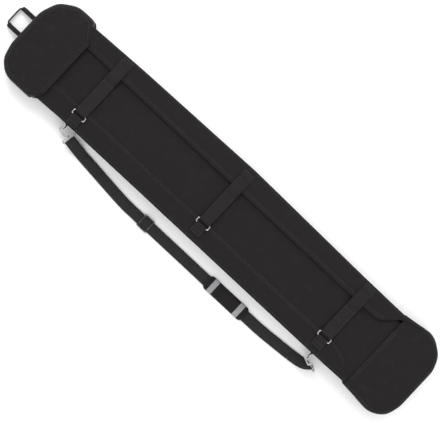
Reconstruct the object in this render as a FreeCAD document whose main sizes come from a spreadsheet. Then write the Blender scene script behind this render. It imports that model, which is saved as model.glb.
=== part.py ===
"""Long soft carrying case for rolled drawings: padded sleeve, end hoods, straps and hardware.

The case lies on its back, so the origin is on the floor under its middle, +X runs from the
handle end (the nose) to the tail end, +Y to the side where the long flap is sewn on, and -Y
to the side with the shoulder strap.  Lengths are millimetres.
"""
import FreeCAD, Part
import math
import os
import Sketcher
from FreeCAD import Placement, Rotation, Vector

doc = FreeCAD.newDocument("carrying_case")

# ---------------------------------------------------------------- driving dimensions
SIZES = {
    # plan of the case
    "case_half_length": 826.0,      # middle to either end
    "body_half_near": 144.5,        # middle line to the strap side
    "body_half_far": 149.0,         # middle line to the flap side, at the middle
    "waist_far": 133.0,             # the same beside the hoods
    "shoulder_far": 141.0,          # the same between middle and waist
    "shoulder_reach": 460.0,        # where that width is reached
    "waist_near_nose": 149.0,
    "waist_near_tail": 142.0,
    "sleeve_half_length": 690.0,    # the sleeve runs on a little way under the hoods
    # nose hood, at the handle end
    "nose_hem": 643.0,
    "nose_side_start": 684.0,
    "nose_far": 148.0,
    "nose_near": 162.5,
    # tail hood
    "tail_hem": 650.0,
    "tail_far": 154.0,
    "tail_near": 158.5,
    # layers, from the floor up
    "outer_skin": 2.5,
    "foam": 6.0,
    "lining": 1.0,
    "wall": 6.0,                    # side walls, skin and foam together
    "cavity_top": 50.0,
    "cover_top": 59.5,
    "band_skin": 2.0,               # doubled strip that carries the ring tabs
    "flap_skin": 2.5,
    "flap_rise": 6.2,               # underside of the long flap over the cover
    "flap_edge": 71.0,              # free edge of the long flap
    "binding": 5.0,
    "cover_far_edge": 112.0,        # the near cover ends here, under the long flap
    "band_edge": 74.0,
    # hoods
    "hood_skin": 3.0,
    "hood_round": 18.0,
    "tail_round": 12.0,
    "nose_top": 74.3,
    "tail_top": 65.5,
    "seam_height": 38.0,            # parting line of the nose hood
    "gap": 0.3,
    "corner": 62.0,
    # cross straps
    "strap_width": 41.0,
    "webbing": 1.2,
    "strap_anchor": 133.0,
    "strap_end": 108.0,
    "patch": 1.0,
    "ring_length": 51.0,
    "ring_depth": 18.5,
    "ring_wire": 4.0,
    "ring_corner": 4.0,
    "tab_width": 38.0,
    "first_strap": -518.0,
    "second_strap": -8.5,
    "third_strap": 505.0,
    "first_ring": -91.0,            # middle of the bar that each strap folds over
    "second_ring": -74.0,
    "third_ring": -74.0,
    # shoulder strap
    "shoulder_width": 37.0,
    "shoulder_webbing": 1.6,
    "shoulder_level": 4.5,          # underside of the upper layer
    "return_level": 2.6,            # underside of the layer doubled back to the slider
    "shoulder_line": -205.0,
    "swing_y": -164.5,              # the hooks turn in the D-rings about this line
    "swing_z": 25.0,
    "dring_wire": 3.5,
    "dring_bar_y": -148.8,          # upright bar of each D-ring, in its tab
    "dring_tab": 22.0,
    "left_dring": -531.8,
    "right_dring": 516.1,
    # snap hooks, lying flat
    "hook_thickness": 4.0,
    "eye_length": 48.0,
    "eye_depth": 14.0,
    "eye_wire": 4.0,
    "pin_radius": 1.0,
    "gate_reach": 17.0,
    "left_hook_x": -491.0,
    "left_hook_y": -174.4,
    "left_hook_turn": 167.7,
    "right_hook_x": 554.5,
    "right_hook_y": -181.5,
    "right_hook_turn": 157.5,
    # slider and shoulder pad
    "slider_x": -141.0,
    "slider_length": 34.0,
    "slider_width": 45.0,
    "pad_start": 120.0,
    "pad_end": 287.0,
    "pad_width": 50.0,
    "keeper_width": 18.0,
    # grab loop
    "loop_reach": 62.0,
    "loop_width": 83.0,
    "loop_webbing": 15.0,
    "loop_middle": -7.0,
    "loop_root": 24.0,
}

sheet = doc.addObject("Spreadsheet::Sheet", "Sizes")
for row, (alias, number) in enumerate(SIZES.items(), start=1):
    sheet.set("A%d" % row, alias)
    sheet.set("B%d" % row, str(number))
    sheet.setAlias("B%d" % row, alias)
doc.recompute()


class Size:
    """A length that carries both its number and the sheet expression that gives it."""

    def __init__(self, number, text=None):
        self.number = float(number)
        self.text = "(%r)" % self.number if text is None else text

    def joined(self, other, sign, number):
        other = as_size(other)
        return Size(number(self.number, other.number), "(%s %s %s)" % (self.text, sign, other.text))

    def __add__(self, other):
        return self.joined(other, "+", lambda a, b: a + b)

    def __sub__(self, other):
        return self.joined(other, "-", lambda a, b: a - b)

    def __mul__(self, other):
        return self.joined(other, "*", lambda a, b: a * b)

    def __truediv__(self, other):
        return self.joined(other, "/", lambda a, b: a / b)

    def __radd__(self, other):
        return as_size(other) + self

    def __rsub__(self, other):
        return as_size(other) - self

    def __rmul__(self, other):
        return as_size(other) * self

    def __neg__(self):
        return Size(-self.number, "(0 - %s)" % self.text)


def as_size(value):
    return value if isinstance(value, Size) else Size(value)


def cell(alias):
    return Size(sheet.get(alias), "Sizes." + alias)


subparts = []


def keep(shape_object, label):
    """Give a finished sub-part the label that names its file."""
    shape_object.Label = label
    subparts.append(shape_object)
    return shape_object


def bind(thing, **sizes):
    """Bind properties of an object to sheet expressions."""
    for name, value in sizes.items():
        thing.setExpression(name, as_size(value).text)
    return thing


def place(thing, x=0, y=0, z=0, turn=None, axis=(0, 0, 1), roll=0):
    """Bind where an object stands; turn is degrees about axis, after a roll about its own X."""
    if turn is not None:
        rolled = Rotation(Vector(1, 0, 0), roll)
        thing.Placement = Placement(Vector(), Rotation(Vector(*axis), as_size(turn).number) * rolled)
    thing.setExpression("Placement.Base.x", as_size(x).text)
    thing.setExpression("Placement.Base.y", as_size(y).text)
    thing.setExpression("Placement.Base.z", as_size(z).text)
    return thing


# ---------------------------------------------------------------- sketch and pad helpers
def origin_plane(body, role):
    for feature in body.Origin.OriginFeatures:
        if feature.Role == role:
            return feature
    raise RuntimeError("no origin plane " + role)


def outline_sketch(body, corners, plane):
    """A closed polygon on one of a body's own planes."""
    sketch = body.newObject("Sketcher::SketchObject", "Outline")
    sketch.AttachmentSupport = [(origin_plane(body, plane), "")]
    sketch.MapMode = "FlatFace"
    return closed_polygon(sketch, corners)


def closed_polygon(sketch, corners):
    """Draw a polygon whose every corner is held by two sheet-bound distances."""
    points = [Vector(as_size(c[0]).number, as_size(c[1]).number, 0) for c in corners]
    count = len(points)
    for i in range(count):
        sketch.addGeometry(Part.LineSegment(points[i], points[(i + 1) % count]), False)
    for i in range(count):
        sketch.addConstraint(Sketcher.Constraint("Coincident", i, 2, (i + 1) % count, 1))
    for i, corner in enumerate(corners):
        for kind, value in (("DistanceX", corner[0]), ("DistanceY", corner[1])):
            value = as_size(value)
            made = sketch.addConstraint(Sketcher.Constraint(kind, -1, 1, i, 1, value.number))
            sketch.setExpression("Constraints[%d]" % made, value.text)
    return sketch


def round_corners(body, feature, corners, plane):
    """Round the padded edges that stand on the corners that give a radius."""
    doc.recompute()
    groups = {}
    for corner in corners:
        if len(corner) > 2 and corner[2] is not None:
            radius = as_size(corner[2])
            groups.setdefault(radius.text, (radius, []))[1].append(corner)
    for radius, members in groups.values():
        names = []
        for index, edge in enumerate(feature.Shape.Edges, start=1):
            if any(stands_on(edge, corner, plane) for corner in members):
                names.append("Edge%d" % index)
        if len(names) != len(members):
            raise RuntimeError("%s: %d edges for %d corners" % (body.Label, len(names), len(members)))
        fillet = body.newObject("PartDesign::Fillet", "Round")
        fillet.Base = (feature, names)
        bind(fillet, Radius=radius)
        doc.recompute()
        feature = fillet
    return feature


def stands_on(edge, corner, plane):
    """Whether an edge is the straight one that a pad raised from a corner."""
    want = (as_size(corner[0]).number, as_size(corner[1]).number)
    axes = {"XY_Plane": (0, 1), "XZ_Plane": (0, 2), "YZ_Plane": (1, 2)}[plane]
    for vertex in edge.Vertexes:
        if any(abs(vertex.Point[axis] - value) > 1e-4 for axis, value in zip(axes, want)):
            return False
    return len(edge.Vertexes) == 2


def padded(label, corners, depth, plane="XY_Plane", middle=False):
    """A body made of one padded polygon with rounded corners; returns body and last feature."""
    body = doc.addObject("PartDesign::Body", label)
    sketch = outline_sketch(body, corners, plane)
    pad = body.newObject("PartDesign::Pad", "Pad")
    pad.Profile = sketch
    bind(pad, Length=depth)
    if middle:
        pad.SideType = "Symmetric"
    doc.recompute()
    return body, round_corners(body, pad, corners, plane)


def pocketed(body, feature, corners, depth, plane="XY_Plane", middle=False, reverse=True):
    """Cut a polygon out of a body, and make sure that something was cut."""
    before = feature.Shape.Volume
    sketch = outline_sketch(body, corners, plane)
    pocket = body.newObject("PartDesign::Pocket", "Pocket")
    pocket.Profile = sketch
    bind(pocket, Length=depth)
    if middle:
        pocket.SideType = "Symmetric"
    else:
        pocket.Reversed = reverse
    doc.recompute()
    if not pocket.Shape.Volume < before - 1e-3:
        raise RuntimeError(body.Label + ": a pocket cut nothing")
    return pocket


def slab(label, corners, bottom, depth):
    """A flat panel: its outline in plan, its underside and its thickness."""
    body = padded(label, corners, depth)[0]
    return keep(place(body, z=bottom), label)


def block(name, length, width, height, x=0, y=0, z=0):
    """A box from its lowest corner."""
    box = bind(doc.addObject("Part::Box", name), Length=length, Width=width, Height=height)
    return place(box, x, y, z)


def rod(name, radius, length, x=0, y=0, z=0, axis=(0, 1, 0), turn=0):
    """A cylinder from the middle of its first face; unturned it stands along +Z."""
    made = bind(doc.addObject("Part::Cylinder", name), Radius=radius, Height=length)
    return place(made, x, y, z, turn, axis)


def fused(name, pieces):
    joined = doc.addObject("Part::MultiFuse", name)
    joined.Shapes = pieces
    joined.Refine = True
    return joined


def grouped(name, pieces):
    """Separate solids kept as one object."""
    group = doc.addObject("Part::Compound", name)
    group.Links = pieces
    return group


def cut(name, base, tool):
    made = doc.addObject("Part::Cut", name)
    made.Base = base
    made.Tool = tool
    return made


# ---------------------------------------------------------------- named places
half = cell("case_half_length")
sleeve_end = cell("sleeve_half_length")
near = cell("body_half_near")
corner = cell("corner")
skin = cell("outer_skin")
wall = cell("wall")
clear = cell("gap")
cover_top = cell("cover_top")
flap_bottom = cover_top + cell("flap_rise")
flap_top = flap_bottom + cell("flap_skin")
foam_top = skin + cell("foam")
inside_floor = foam_top + cell("lining")
band_top = cover_top + cell("band_skin")


def nose_outline(inset=0.0, open_by=0.0):
    """Plan of the nose hood; open_by pushes its opening out past the hem."""
    hem = -cell("nose_hem") + open_by
    far = cell("nose_far") - inset
    side = -(cell("nose_near") - inset)
    end = -(half - inset)
    return [
        (hem, side + 28.0),
        (hem, cell("flap_edge") + 22.0 - inset),
        (-cell("nose_side_start") + 2.0 * as_size(open_by), far),
        (end + 76.0, far, corner),
        (end + 22.0, far - 34.0, corner),
        (end, far - 92.0, corner),
        (end, side + 86.0, corner),
        (end + 13.0, side + 34.0, corner),
        (end + 52.0, side, corner),
        (hem - 34.0, side),
    ]


def tail_outline(inset=0.0, open_by=0.0):
    """Plan of the tail hood; open_by pushes its opening out past the hem."""
    hem = cell("tail_hem") - open_by
    far = cell("tail_far") - inset
    side = -(cell("tail_near") - inset)
    end = half - inset
    return [
        (hem, side + 10.0),
        (end - 60.0, side, corner),
        (end - 14.0, side + 26.0, corner),
        (end, side + 78.0, corner),
        (end, far - 84.0, corner),
        (end - 18.0, far - 38.0, corner),
        (end - 70.0, far, corner),
        (hem, far - 14.0),
    ]


def sleeve_far(inset=0.0):
    """Flap side of the sleeve, from tail to nose."""
    reach = cell("shoulder_reach")
    return [
        (sleeve_end, cell("waist_far") - inset),
        (reach, cell("shoulder_far") - 2.0 - inset),
        (0.0, cell("body_half_far") - inset),
        (-reach, cell("shoulder_far") - inset),
        (-sleeve_end, cell("waist_far") - inset),
    ]


def sleeve_near(inset=0.0):
    """Shoulder-strap side of the sleeve, from nose to tail."""
    straight = Size(560.0)
    return [
        (-sleeve_end, -(cell("waist_near_nose") - inset)),
        (-straight, -(near - inset)),
        (straight, -(near - inset)),
        (sleeve_end, -(cell("waist_near_tail") - inset)),
    ]


# ---------------------------------------------------------------- back of the case
def back_outline(inset=0.0):
    """Whole plan of the case: the sleeve with a hood's outline at each end."""
    inset = as_size(inset)
    tail = tail_outline(inset)
    nose = nose_outline(inset)
    tail_hem = cell("tail_hem")
    nose_hem = -cell("nose_hem")
    return (
        tail
        + sleeve_far(inset)[1:4] + [(nose_hem, cell("waist_far") - inset)] + nose[2:9]
        + [(nose_hem - 34.0, nose[9][1]), (nose_hem, -(cell("waist_near_nose") - inset))]
        + sleeve_near(inset)[1:3]
    )


def foam_outline(inset):
    """Back foam: between the side walls as far as they run, then out to the hoods."""
    reach = sleeve_end + 1.0
    tail = tail_outline(inset)
    nose = nose_outline(inset)
    near_side = sleeve_near(inset)
    far_side = sleeve_far(inset)
    return (
        [(reach, near_side[3][1]), (reach, tail[0][1])] + tail[1:7]
        + [(reach, tail[7][1]), (reach, far_side[0][1])]
        + far_side[1:4]
        + [(-reach, far_side[4][1]), (-reach, nose[2][1])] + nose[3:9]
        + [(-reach, nose[9][1]), (-reach, near_side[0][1])]
        + near_side[1:3]
    )


slab("back_panel", back_outline(), 0.0, skin)
slab("back_foam", foam_outline(wall + 0.5), skin, cell("foam"))
slab("back_lining", foam_outline(wall + 0.5), foam_top, cell("lining"))

# ---------------------------------------------------------------- side walls of the sleeve
wall_height = cover_top - skin - cell("outer_skin")
slab("near_wall", sleeve_near() + list(reversed(sleeve_near(wall))), skin, wall_height)
slab("far_wall", sleeve_far() + list(reversed(sleeve_far(wall))), skin, cover_top - skin)


# ---------------------------------------------------------------- front cover, sewn on along the near side
def cover_outline(inset, far_edge):
    return sleeve_near(inset) + [(sleeve_end, far_edge), (-sleeve_end, far_edge)]


cover_skin = cell("outer_skin")
cover_foam_top = cover_top - cover_skin
slab("cover_lining", cover_outline(wall, cell("cover_far_edge") - 6.0), cell("cavity_top"), cell("lining"))
slab("cover_foam", cover_outline(wall, cell("cover_far_edge") - 6.0),
     cell("cavity_top") + cell("lining"), cover_foam_top - cell("cavity_top") - cell("lining"))
slab("near_cover", cover_outline(0.0, cell("cover_far_edge")), cover_foam_top, cover_skin)

# strip sewn over the cover along the near side; its tail end sweeps back in an S
slab("near_band", [
    (-sleeve_end, -cell("waist_near_nose")),
    (Size(-560.0), -near),
    (Size(560.0), -near),
    (cell("tail_hem") - 4.0, -near + 1.5),
    (cell("tail_hem") - 4.0, -near + 12.0),
    (Size(606.0), -cell("band_edge") - 18.0, 40.0),
    (Size(560.0), -cell("band_edge"), 70.0),
    (-sleeve_end, -cell("band_edge")),
], cover_top, cell("band_skin"))


# ---------------------------------------------------------------- long flap, sewn on the far side
def flap_outline(edge):
    """The flap's free edge sweeps out to the side over the tail hood."""
    return [
        (Size(730.0), cell("tail_far") - 7.0),
        (Size(670.0), cell("shoulder_far") - 3.0),
        (cell("shoulder_reach"), cell("shoulder_far") - 2.0),
        (0.0, cell("body_half_far")),
        (-cell("shoulder_reach"), cell("shoulder_far")),
        (-sleeve_end, cell("waist_far")),
        (-sleeve_end, edge),
        (Size(592.0), edge - 6.0, 90.0),
        (Size(640.0), edge + 47.0, 90.0),
    ]


edge_in = cell("flap_edge") + cell("binding")
slab("long_flap", flap_outline(edge_in), flap_bottom, cell("flap_skin"))
slab("flap_foam", [(Size(640.0), cell("waist_far") + 1.0)] + sleeve_far()[1:] + [
    (-sleeve_end, edge_in),
    (Size(560.0), edge_in),
    (Size(640.0), edge_in + 46.0),
], cover_top, cell("flap_rise"))
slab("flap_binding", [
    (-sleeve_end, cell("flap_edge")),
    (Size(550.0), cell("flap_edge") - 5.8),
    (Size(550.0), edge_in - 5.8),
    (-sleeve_end, edge_in),
], cover_top, flap_top - cover_top)


# ---------------------------------------------------------------- hoods
def hood(label, outline, openings, bottom, top, skin_size, roundness):
    """A hood: padded plan, rounded shoulder, then hollowed and open at floor and hem."""
    body, last = padded(label, outline, top - bottom)
    crown = (top - bottom).number
    rim = []
    for index, edge in enumerate(last.Shape.Edges, start=1):
        flat = all(abs(v.Point.z - crown) < 1e-4 for v in edge.Vertexes)
        middle = edge.valueAt((edge.FirstParameter + edge.LastParameter) / 2)
        if flat and not openings(middle):
            rim.append("Edge%d" % index)
    shoulder = body.newObject("PartDesign::Fillet", "Shoulder")
    shoulder.Base = (last, rim)
    bind(shoulder, Radius=roundness)
    doc.recompute()
    faces = []
    for index, face in enumerate(shoulder.Shape.Faces, start=1):
        centre = face.CenterOfMass
        upright = abs(face.normalAt(0, 0).z) < 0.01
        if centre.z < 1e-3 or (upright and openings(centre)):
            faces.append("Face%d" % index)
    hollow = body.newObject("PartDesign::Thickness", "Hollow")
    hollow.Base = (shoulder, faces)
    hollow.Reversed = True
    hollow.Join = "Intersection"
    bind(hollow, Value=skin_size)
    doc.recompute()
    if not hollow.Shape.Volume < 0.5 * shoulder.Shape.Volume:
        raise RuntimeError(label + " is not hollow")
    return keep(place(body, z=bottom), label)


def at_nose_hem(point):
    return point.x > -cell("nose_side_start").number - 2.0


def at_tail_hem(point):
    return point.x < cell("tail_hem").number + 1.0


def rim(label, outline, outer, inner, bottom, depth):
    """An upright strip that follows a hood's plan and is open where the hood is."""
    outside = padded(label + "_outside", outline(outer), depth)[0]
    inside = padded(label + "_inside", outline(inner, 60.0), depth)[0]
    strip = cut(label, place(outside, z=bottom), place(inside, z=bottom))
    return keep(strip, label)


hood_skin = cell("hood_skin")
seam = cell("seam_height")
lid_bottom = seam + clear
nose_top = cell("nose_top")
tail_top = cell("tail_top")
lining_gap = hood_skin + 0.2

rim("nose_tray", nose_outline, 0.0, 5.5, skin, seam - skin)
hood("nose_hood", nose_outline(), at_nose_hem, lid_bottom, nose_top, hood_skin, cell("hood_round"))
hood("nose_hood_lining", nose_outline(lining_gap), at_nose_hem, lid_bottom, nose_top - lining_gap,
     2.2, cell("hood_round") - lining_gap)
hood("tail_hood", tail_outline(), at_tail_hem, skin, tail_top, hood_skin, cell("tail_round"))
rim("nose_binding", nose_outline, -1.8, 0.0, seam - 4.0, 3.6)
rim("tail_binding", tail_outline, -1.8, 0.0, seam - 4.0, 3.6)
keep(block("nose_hem", 13.0, 216.0, 1.0, -cell("nose_hem") - 13.0, -128.0, nose_top), "nose_hem")
keep(block("tail_hem", 13.0, 216.0, 1.0, cell("tail_hem"), -126.0, tail_top), "tail_hem")

# ---------------------------------------------------------------- cross straps and their rings
webbing = cell("webbing")
ring_radius = cell("ring_wire") / 2.0
fold_inner = ring_radius + clear
fold_outer = fold_inner + webbing
patch = cell("patch")
strap_width = cell("strap_width")
anchor = cell("strap_anchor")
ramp_far = cell("flap_edge") - 8.5  # the strap comes down past the flap's free edge
ramp_near = cell("flap_edge") - 33.0
strap_low = band_top + 0.5          # underside of the strap between flap and ring
strap_high = flap_top + clear       # underside of the strap over the flap
bar_level = strap_low + fold_outer  # middle of the ring's bar


def crosswise(label, corners, width, middle):
    """A strip whose side view is given in (Y, Z), as wide as given about one X."""
    body = padded(label, corners, width, "YZ_Plane", middle=True)[0]
    return keep(place(body, x=middle), label)


def wire_ring(name, length, depth, radius, turn_radius):
    """A rounded rectangle of round wire in the XY plane, centred on its own origin."""
    along = length / 2.0 - radius - turn_radius
    across = depth / 2.0 - radius - turn_radius
    pieces = []
    for side in (-1.0, 1.0):
        pieces.append(rod(name + "_bar", radius, along * 2.0, -along,
                          side * (across + turn_radius), 0.0, (0, 1, 0), 90))
        pieces.append(rod(name + "_end", radius, across * 2.0, side * (along + turn_radius),
                          across, 0.0, (1, 0, 0), 90))
    for turn, sx, sy in ((0, 1.0, 1.0), (90, -1.0, 1.0), (180, -1.0, -1.0), (270, 1.0, -1.0)):
        bend = doc.addObject("Part::Torus", name + "_bend")
        bend.Angle3 = 90
        bind(bend, Radius1=turn_radius, Radius2=radius)
        pieces.append(place(bend, sx * along, sy * across, 0.0, turn))
    return fused(name, pieces)


def cross_strap(number, middle, bar):
    """Strap, fold over the ring's bar, hook-and-loop tail, ring and ring tab."""
    name = "cross_strap_%d" % number
    top = strap_low + webbing
    crosswise(name, [
        (anchor, strap_high),
        (anchor, strap_high + webbing),
        (ramp_far, strap_high + webbing),
        (ramp_near, top),
        (bar - fold_inner, top, fold_inner - 0.15),
        (bar - fold_inner, bar_level + fold_inner, fold_inner - 0.15),
        (bar, bar_level + fold_inner),
        (bar, bar_level + fold_outer),
        (bar - fold_outer, bar_level + fold_outer, fold_outer - 0.15),
        (bar - fold_outer, strap_low, fold_outer - 0.15),
        (ramp_near, strap_low),
        (ramp_far, strap_high),
    ], strap_width, middle)

    start = bar_level + fold_outer + clear
    low = top + patch * 2.0 + 0.4
    high = strap_high + webbing + patch * 2.0 + 0.4
    crosswise("strap_tail_%d" % number, [
        (bar, start),
        (bar + 30.0, low),
        (ramp_near, low),
        (ramp_far, high),
        (cell("strap_end"), high),
        (cell("strap_end"), high + webbing),
        (ramp_far, high + webbing),
        (ramp_near, low + webbing),
        (bar + 30.0, low + webbing),
        (bar, start + webbing),
    ], strap_width, middle)
    crosswise("hook_patch_%d" % number, [
        (bar + 34.0, low - patch),
        (ramp_near - 3.0, low - patch),
        (ramp_near - 3.0, low),
        (bar + 34.0, low),
    ], strap_width - 4.0, middle)

    depth = cell("ring_depth")
    ring = wire_ring("strap_ring_%d" % number, cell("ring_length"), depth, ring_radius, cell("ring_corner"))
    spacing = depth - ring_radius * 2.0
    keep(place(ring, middle, bar - spacing / 2.0, bar_level), "strap_ring_%d" % number)

    held = bar - spacing
    flat_end = held - 34.0
    label = "ring_tab_%d" % number
    tab, last = padded(label, [
        (flat_end, strap_low),
        (held + fold_outer, strap_low, fold_outer - 0.15),
        (held + fold_outer, bar_level + fold_outer, fold_outer - 0.15),
        (held - 4.0, bar_level + fold_outer),
        (held - 16.0, top + webbing),
        (flat_end, top + webbing),
    ], cell("tab_width"), "YZ_Plane", middle=True)
    pocketed(tab, last, [
        (held - 15.6, top),
        (held - 3.8, bar_level + fold_inner),
        (held + fold_inner, bar_level + fold_inner, fold_inner - 0.15),
        (held + fold_inner, top, fold_inner - 0.15),
    ], cell("tab_width") + 2.0, "YZ_Plane", middle=True)
    keep(place(tab, x=middle), label)
    return block("loop_patch", strap_width - 4.0, ramp_near - bar - 37.0, patch,
                 middle - strap_width / 2.0 + 2.0, bar + 34.0, top)


patches = []
for number, (middle, bar) in enumerate((("first_strap", "first_ring"), ("second_strap", "second_ring"),
                                        ("third_strap", "third_ring")), start=1):
    patches.append(cross_strap(number, cell(middle), cell(bar)))
keep(grouped("loop_patches", patches), "loop_patches")

# ---------------------------------------------------------------- shoulder strap
half_width = cell("shoulder_width") / 2.0
line = cell("shoulder_line")
swing_y = cell("swing_y")
swing_z = cell("swing_z")


def shoulder_band(label, stations, bottom, thickness):
    """Flat webbing in plan; each station is a point of its middle line and its slope to +X."""
    upper = []
    lower = []
    for x, y, lean in stations:
        upper.append((x - half_width * lean, y + half_width))
        lower.append((x + half_width * lean, y - half_width))
    slab(label, upper + list(reversed(lower)), bottom, thickness)


left_end = (Size(-425.0), line + 18.9, -0.12)
straight_start = (Size(-230.0), line, -0.04)
straight_end = (Size(350.0), line, 0.03)
right_end = (Size(470.0), line + 8.4, 0.11)
strap_layer = cell("shoulder_webbing")
strap_top = cell("shoulder_level") + strap_layer
shoulder_band("shoulder_strap", [left_end, straight_start, straight_end, right_end],
              cell("shoulder_level"), strap_layer)
return_end = (cell("slider_x"), line, 0.0)
shoulder_band("strap_return", [left_end, straight_start, return_end],
              cell("return_level"), strap_layer)


def station(name, x, y, z, thickness, heading=0.0, roll=0.0):
    """Cross-section of webbing, square to its heading and rolled about it."""
    sketch = doc.addObject("Sketcher::SketchObject", name)
    side = half_width
    deep = as_size(thickness) / 2.0
    closed_polygon(sketch, [(-side, -deep), (side, -deep), (side, deep), (-side, deep)])
    a = math.radians(heading)
    b = math.radians(roll)
    flat = Vector(-math.sin(a), math.cos(a), 0)
    across = flat * math.cos(b) + Vector(0, 0, math.sin(b))
    upright = flat * -math.sin(b) + Vector(0, 0, math.cos(b))
    sketch.Placement = Placement(Vector(), Rotation(across, upright, across.cross(upright), "ZXY"))
    return place(sketch, x, y, z)


def strap_loop(label, x, y, turn, roll, sections):
    """Sewn end of the webbing: a loop round the eye's bar, and its run to the strap's own level."""
    name = label + "_"
    bar = cell("eye_wire") / 2.0 + clear
    thick = bar + strap_layer
    width = half_width * 2.0
    # each cylinder lies along the bar, which is the hook's own crosswise axis
    outer = rod(name + "outer", thick, width, 0.0, half_width, 0.0, (1, 0, 0), 90)
    bore = rod(name + "bore", bar, width + 2.0, 0.0, half_width + 1.0, 0.0, (1, 0, 0), 90)
    tube = cut(name + "tube", outer, bore)
    tube.Placement = Placement()
    group = place(grouped(name + "round", [tube]), x, y, swing_z, turn, roll=roll)
    run = doc.addObject("Part::Loft", name + "run")
    run.Sections = [station(name + "station%d" % i, *given) for i, given in enumerate(sections)]
    run.Solid = True
    run.Ruled = True
    doubled = grouped(name + "bore_here", [bore])
    place(doubled, x, y, swing_z, turn, roll=roll)
    return keep(fused(label, [group, cut(name + "leg", run, doubled)]), label)


left_x = cell("left_hook_x")
left_y = cell("left_hook_y")
right_x = cell("right_hook_x")
right_y = cell("right_hook_y")
doubled = strap_top - cell("return_level")
rest_level = (strap_top + cell("return_level")) / 2.0
strap_loop("strap_loop_left", left_x, left_y, cell("left_hook_turn"), 0, [
    (-425.0, line + 18.9, rest_level, doubled, -6.9),
    (-434.0, line + 20.1, rest_level + 1.2, doubled, -7.5),
    (-452.0, line + 22.9, rest_level + 8.0, doubled, -9.5),
    (-470.0, line + 26.3, rest_level + 16.5, doubled, -11.0),
    (-488.4, line + 30.0, swing_z, doubled, -12.3),
])
strap_loop("strap_loop_right", right_x, right_y, cell("right_hook_turn"), 90, [
    (470.0, line + 8.4, strap_top - strap_layer / 2.0, strap_layer, 6.3),
    (498.0, line + 11.9, 7.5, 2.4, 8.0, -14.0),
    (518.0, line + 15.1, 14.5, 3.0, 9.5, -40.0),
    (533.0, line + 17.8, 20.5, 3.2, 11.0, -72.0),
    (543.0, line + 20.2, 24.0, 3.3, 13.0, -86.0),
    (552.0, line + 22.9, swing_z, 3.4, 15.0, -90.0),
])

# ---------------------------------------------------------------- D-rings and their tabs
dring_wire = cell("dring_wire") / 2.0
dring_bar = cell("dring_bar_y")
dring_radius = dring_bar - swing_y
tab_thick = Size(1.5)
for side in ("left", "right"):
    middle = cell(side + "_dring")
    bar = rod(side + "_dring_bar", dring_wire, dring_radius * 2.0, 0.0, 0.0, -dring_radius)
    bow = doc.addObject("Part::Torus", side + "_dring_bow")
    bow.Angle3 = 180
    bind(bow, Radius1=dring_radius, Radius2=dring_wire)
    # half a ring in the upright plane across the case, bowed away from it
    bow.Placement = Placement(Vector(), Rotation(Vector(0, 0, 1), Vector(0, -1, 0), Vector(1, 0, 0), "ZXY"))
    knobs = []
    for end in (-1.0, 1.0):
        knob = bind(doc.addObject("Part::Sphere", side + "_dring_corner"), Radius=dring_wire)
        knobs.append(place(knob, 0.0, 0.0, dring_radius * end))
    ring = fused("d_ring_" + side, [bar, bow] + knobs)
    keep(place(ring, middle, dring_bar, swing_z), "d_ring_" + side)

    length = cell("dring_tab")
    tab_low = swing_z - length / 2.0
    outer = rod(side + "_tab_tube", dring_wire + clear + tab_thick, length, middle, dring_bar, tab_low)
    leg = block(side + "_tab_leg", tab_thick * 2.0 + 0.6, -dring_bar - near, length,
                middle - tab_thick - 0.3, dring_bar, tab_low)
    bore = rod(side + "_tab_bore", dring_wire + clear, length + 2.0, middle, dring_bar, tab_low - 1.0)
    tab = cut("d_ring_tab_" + side, fused(side + "_tab_body", [outer, leg]), bore)
    keep(tab, "d_ring_tab_" + side)

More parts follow.
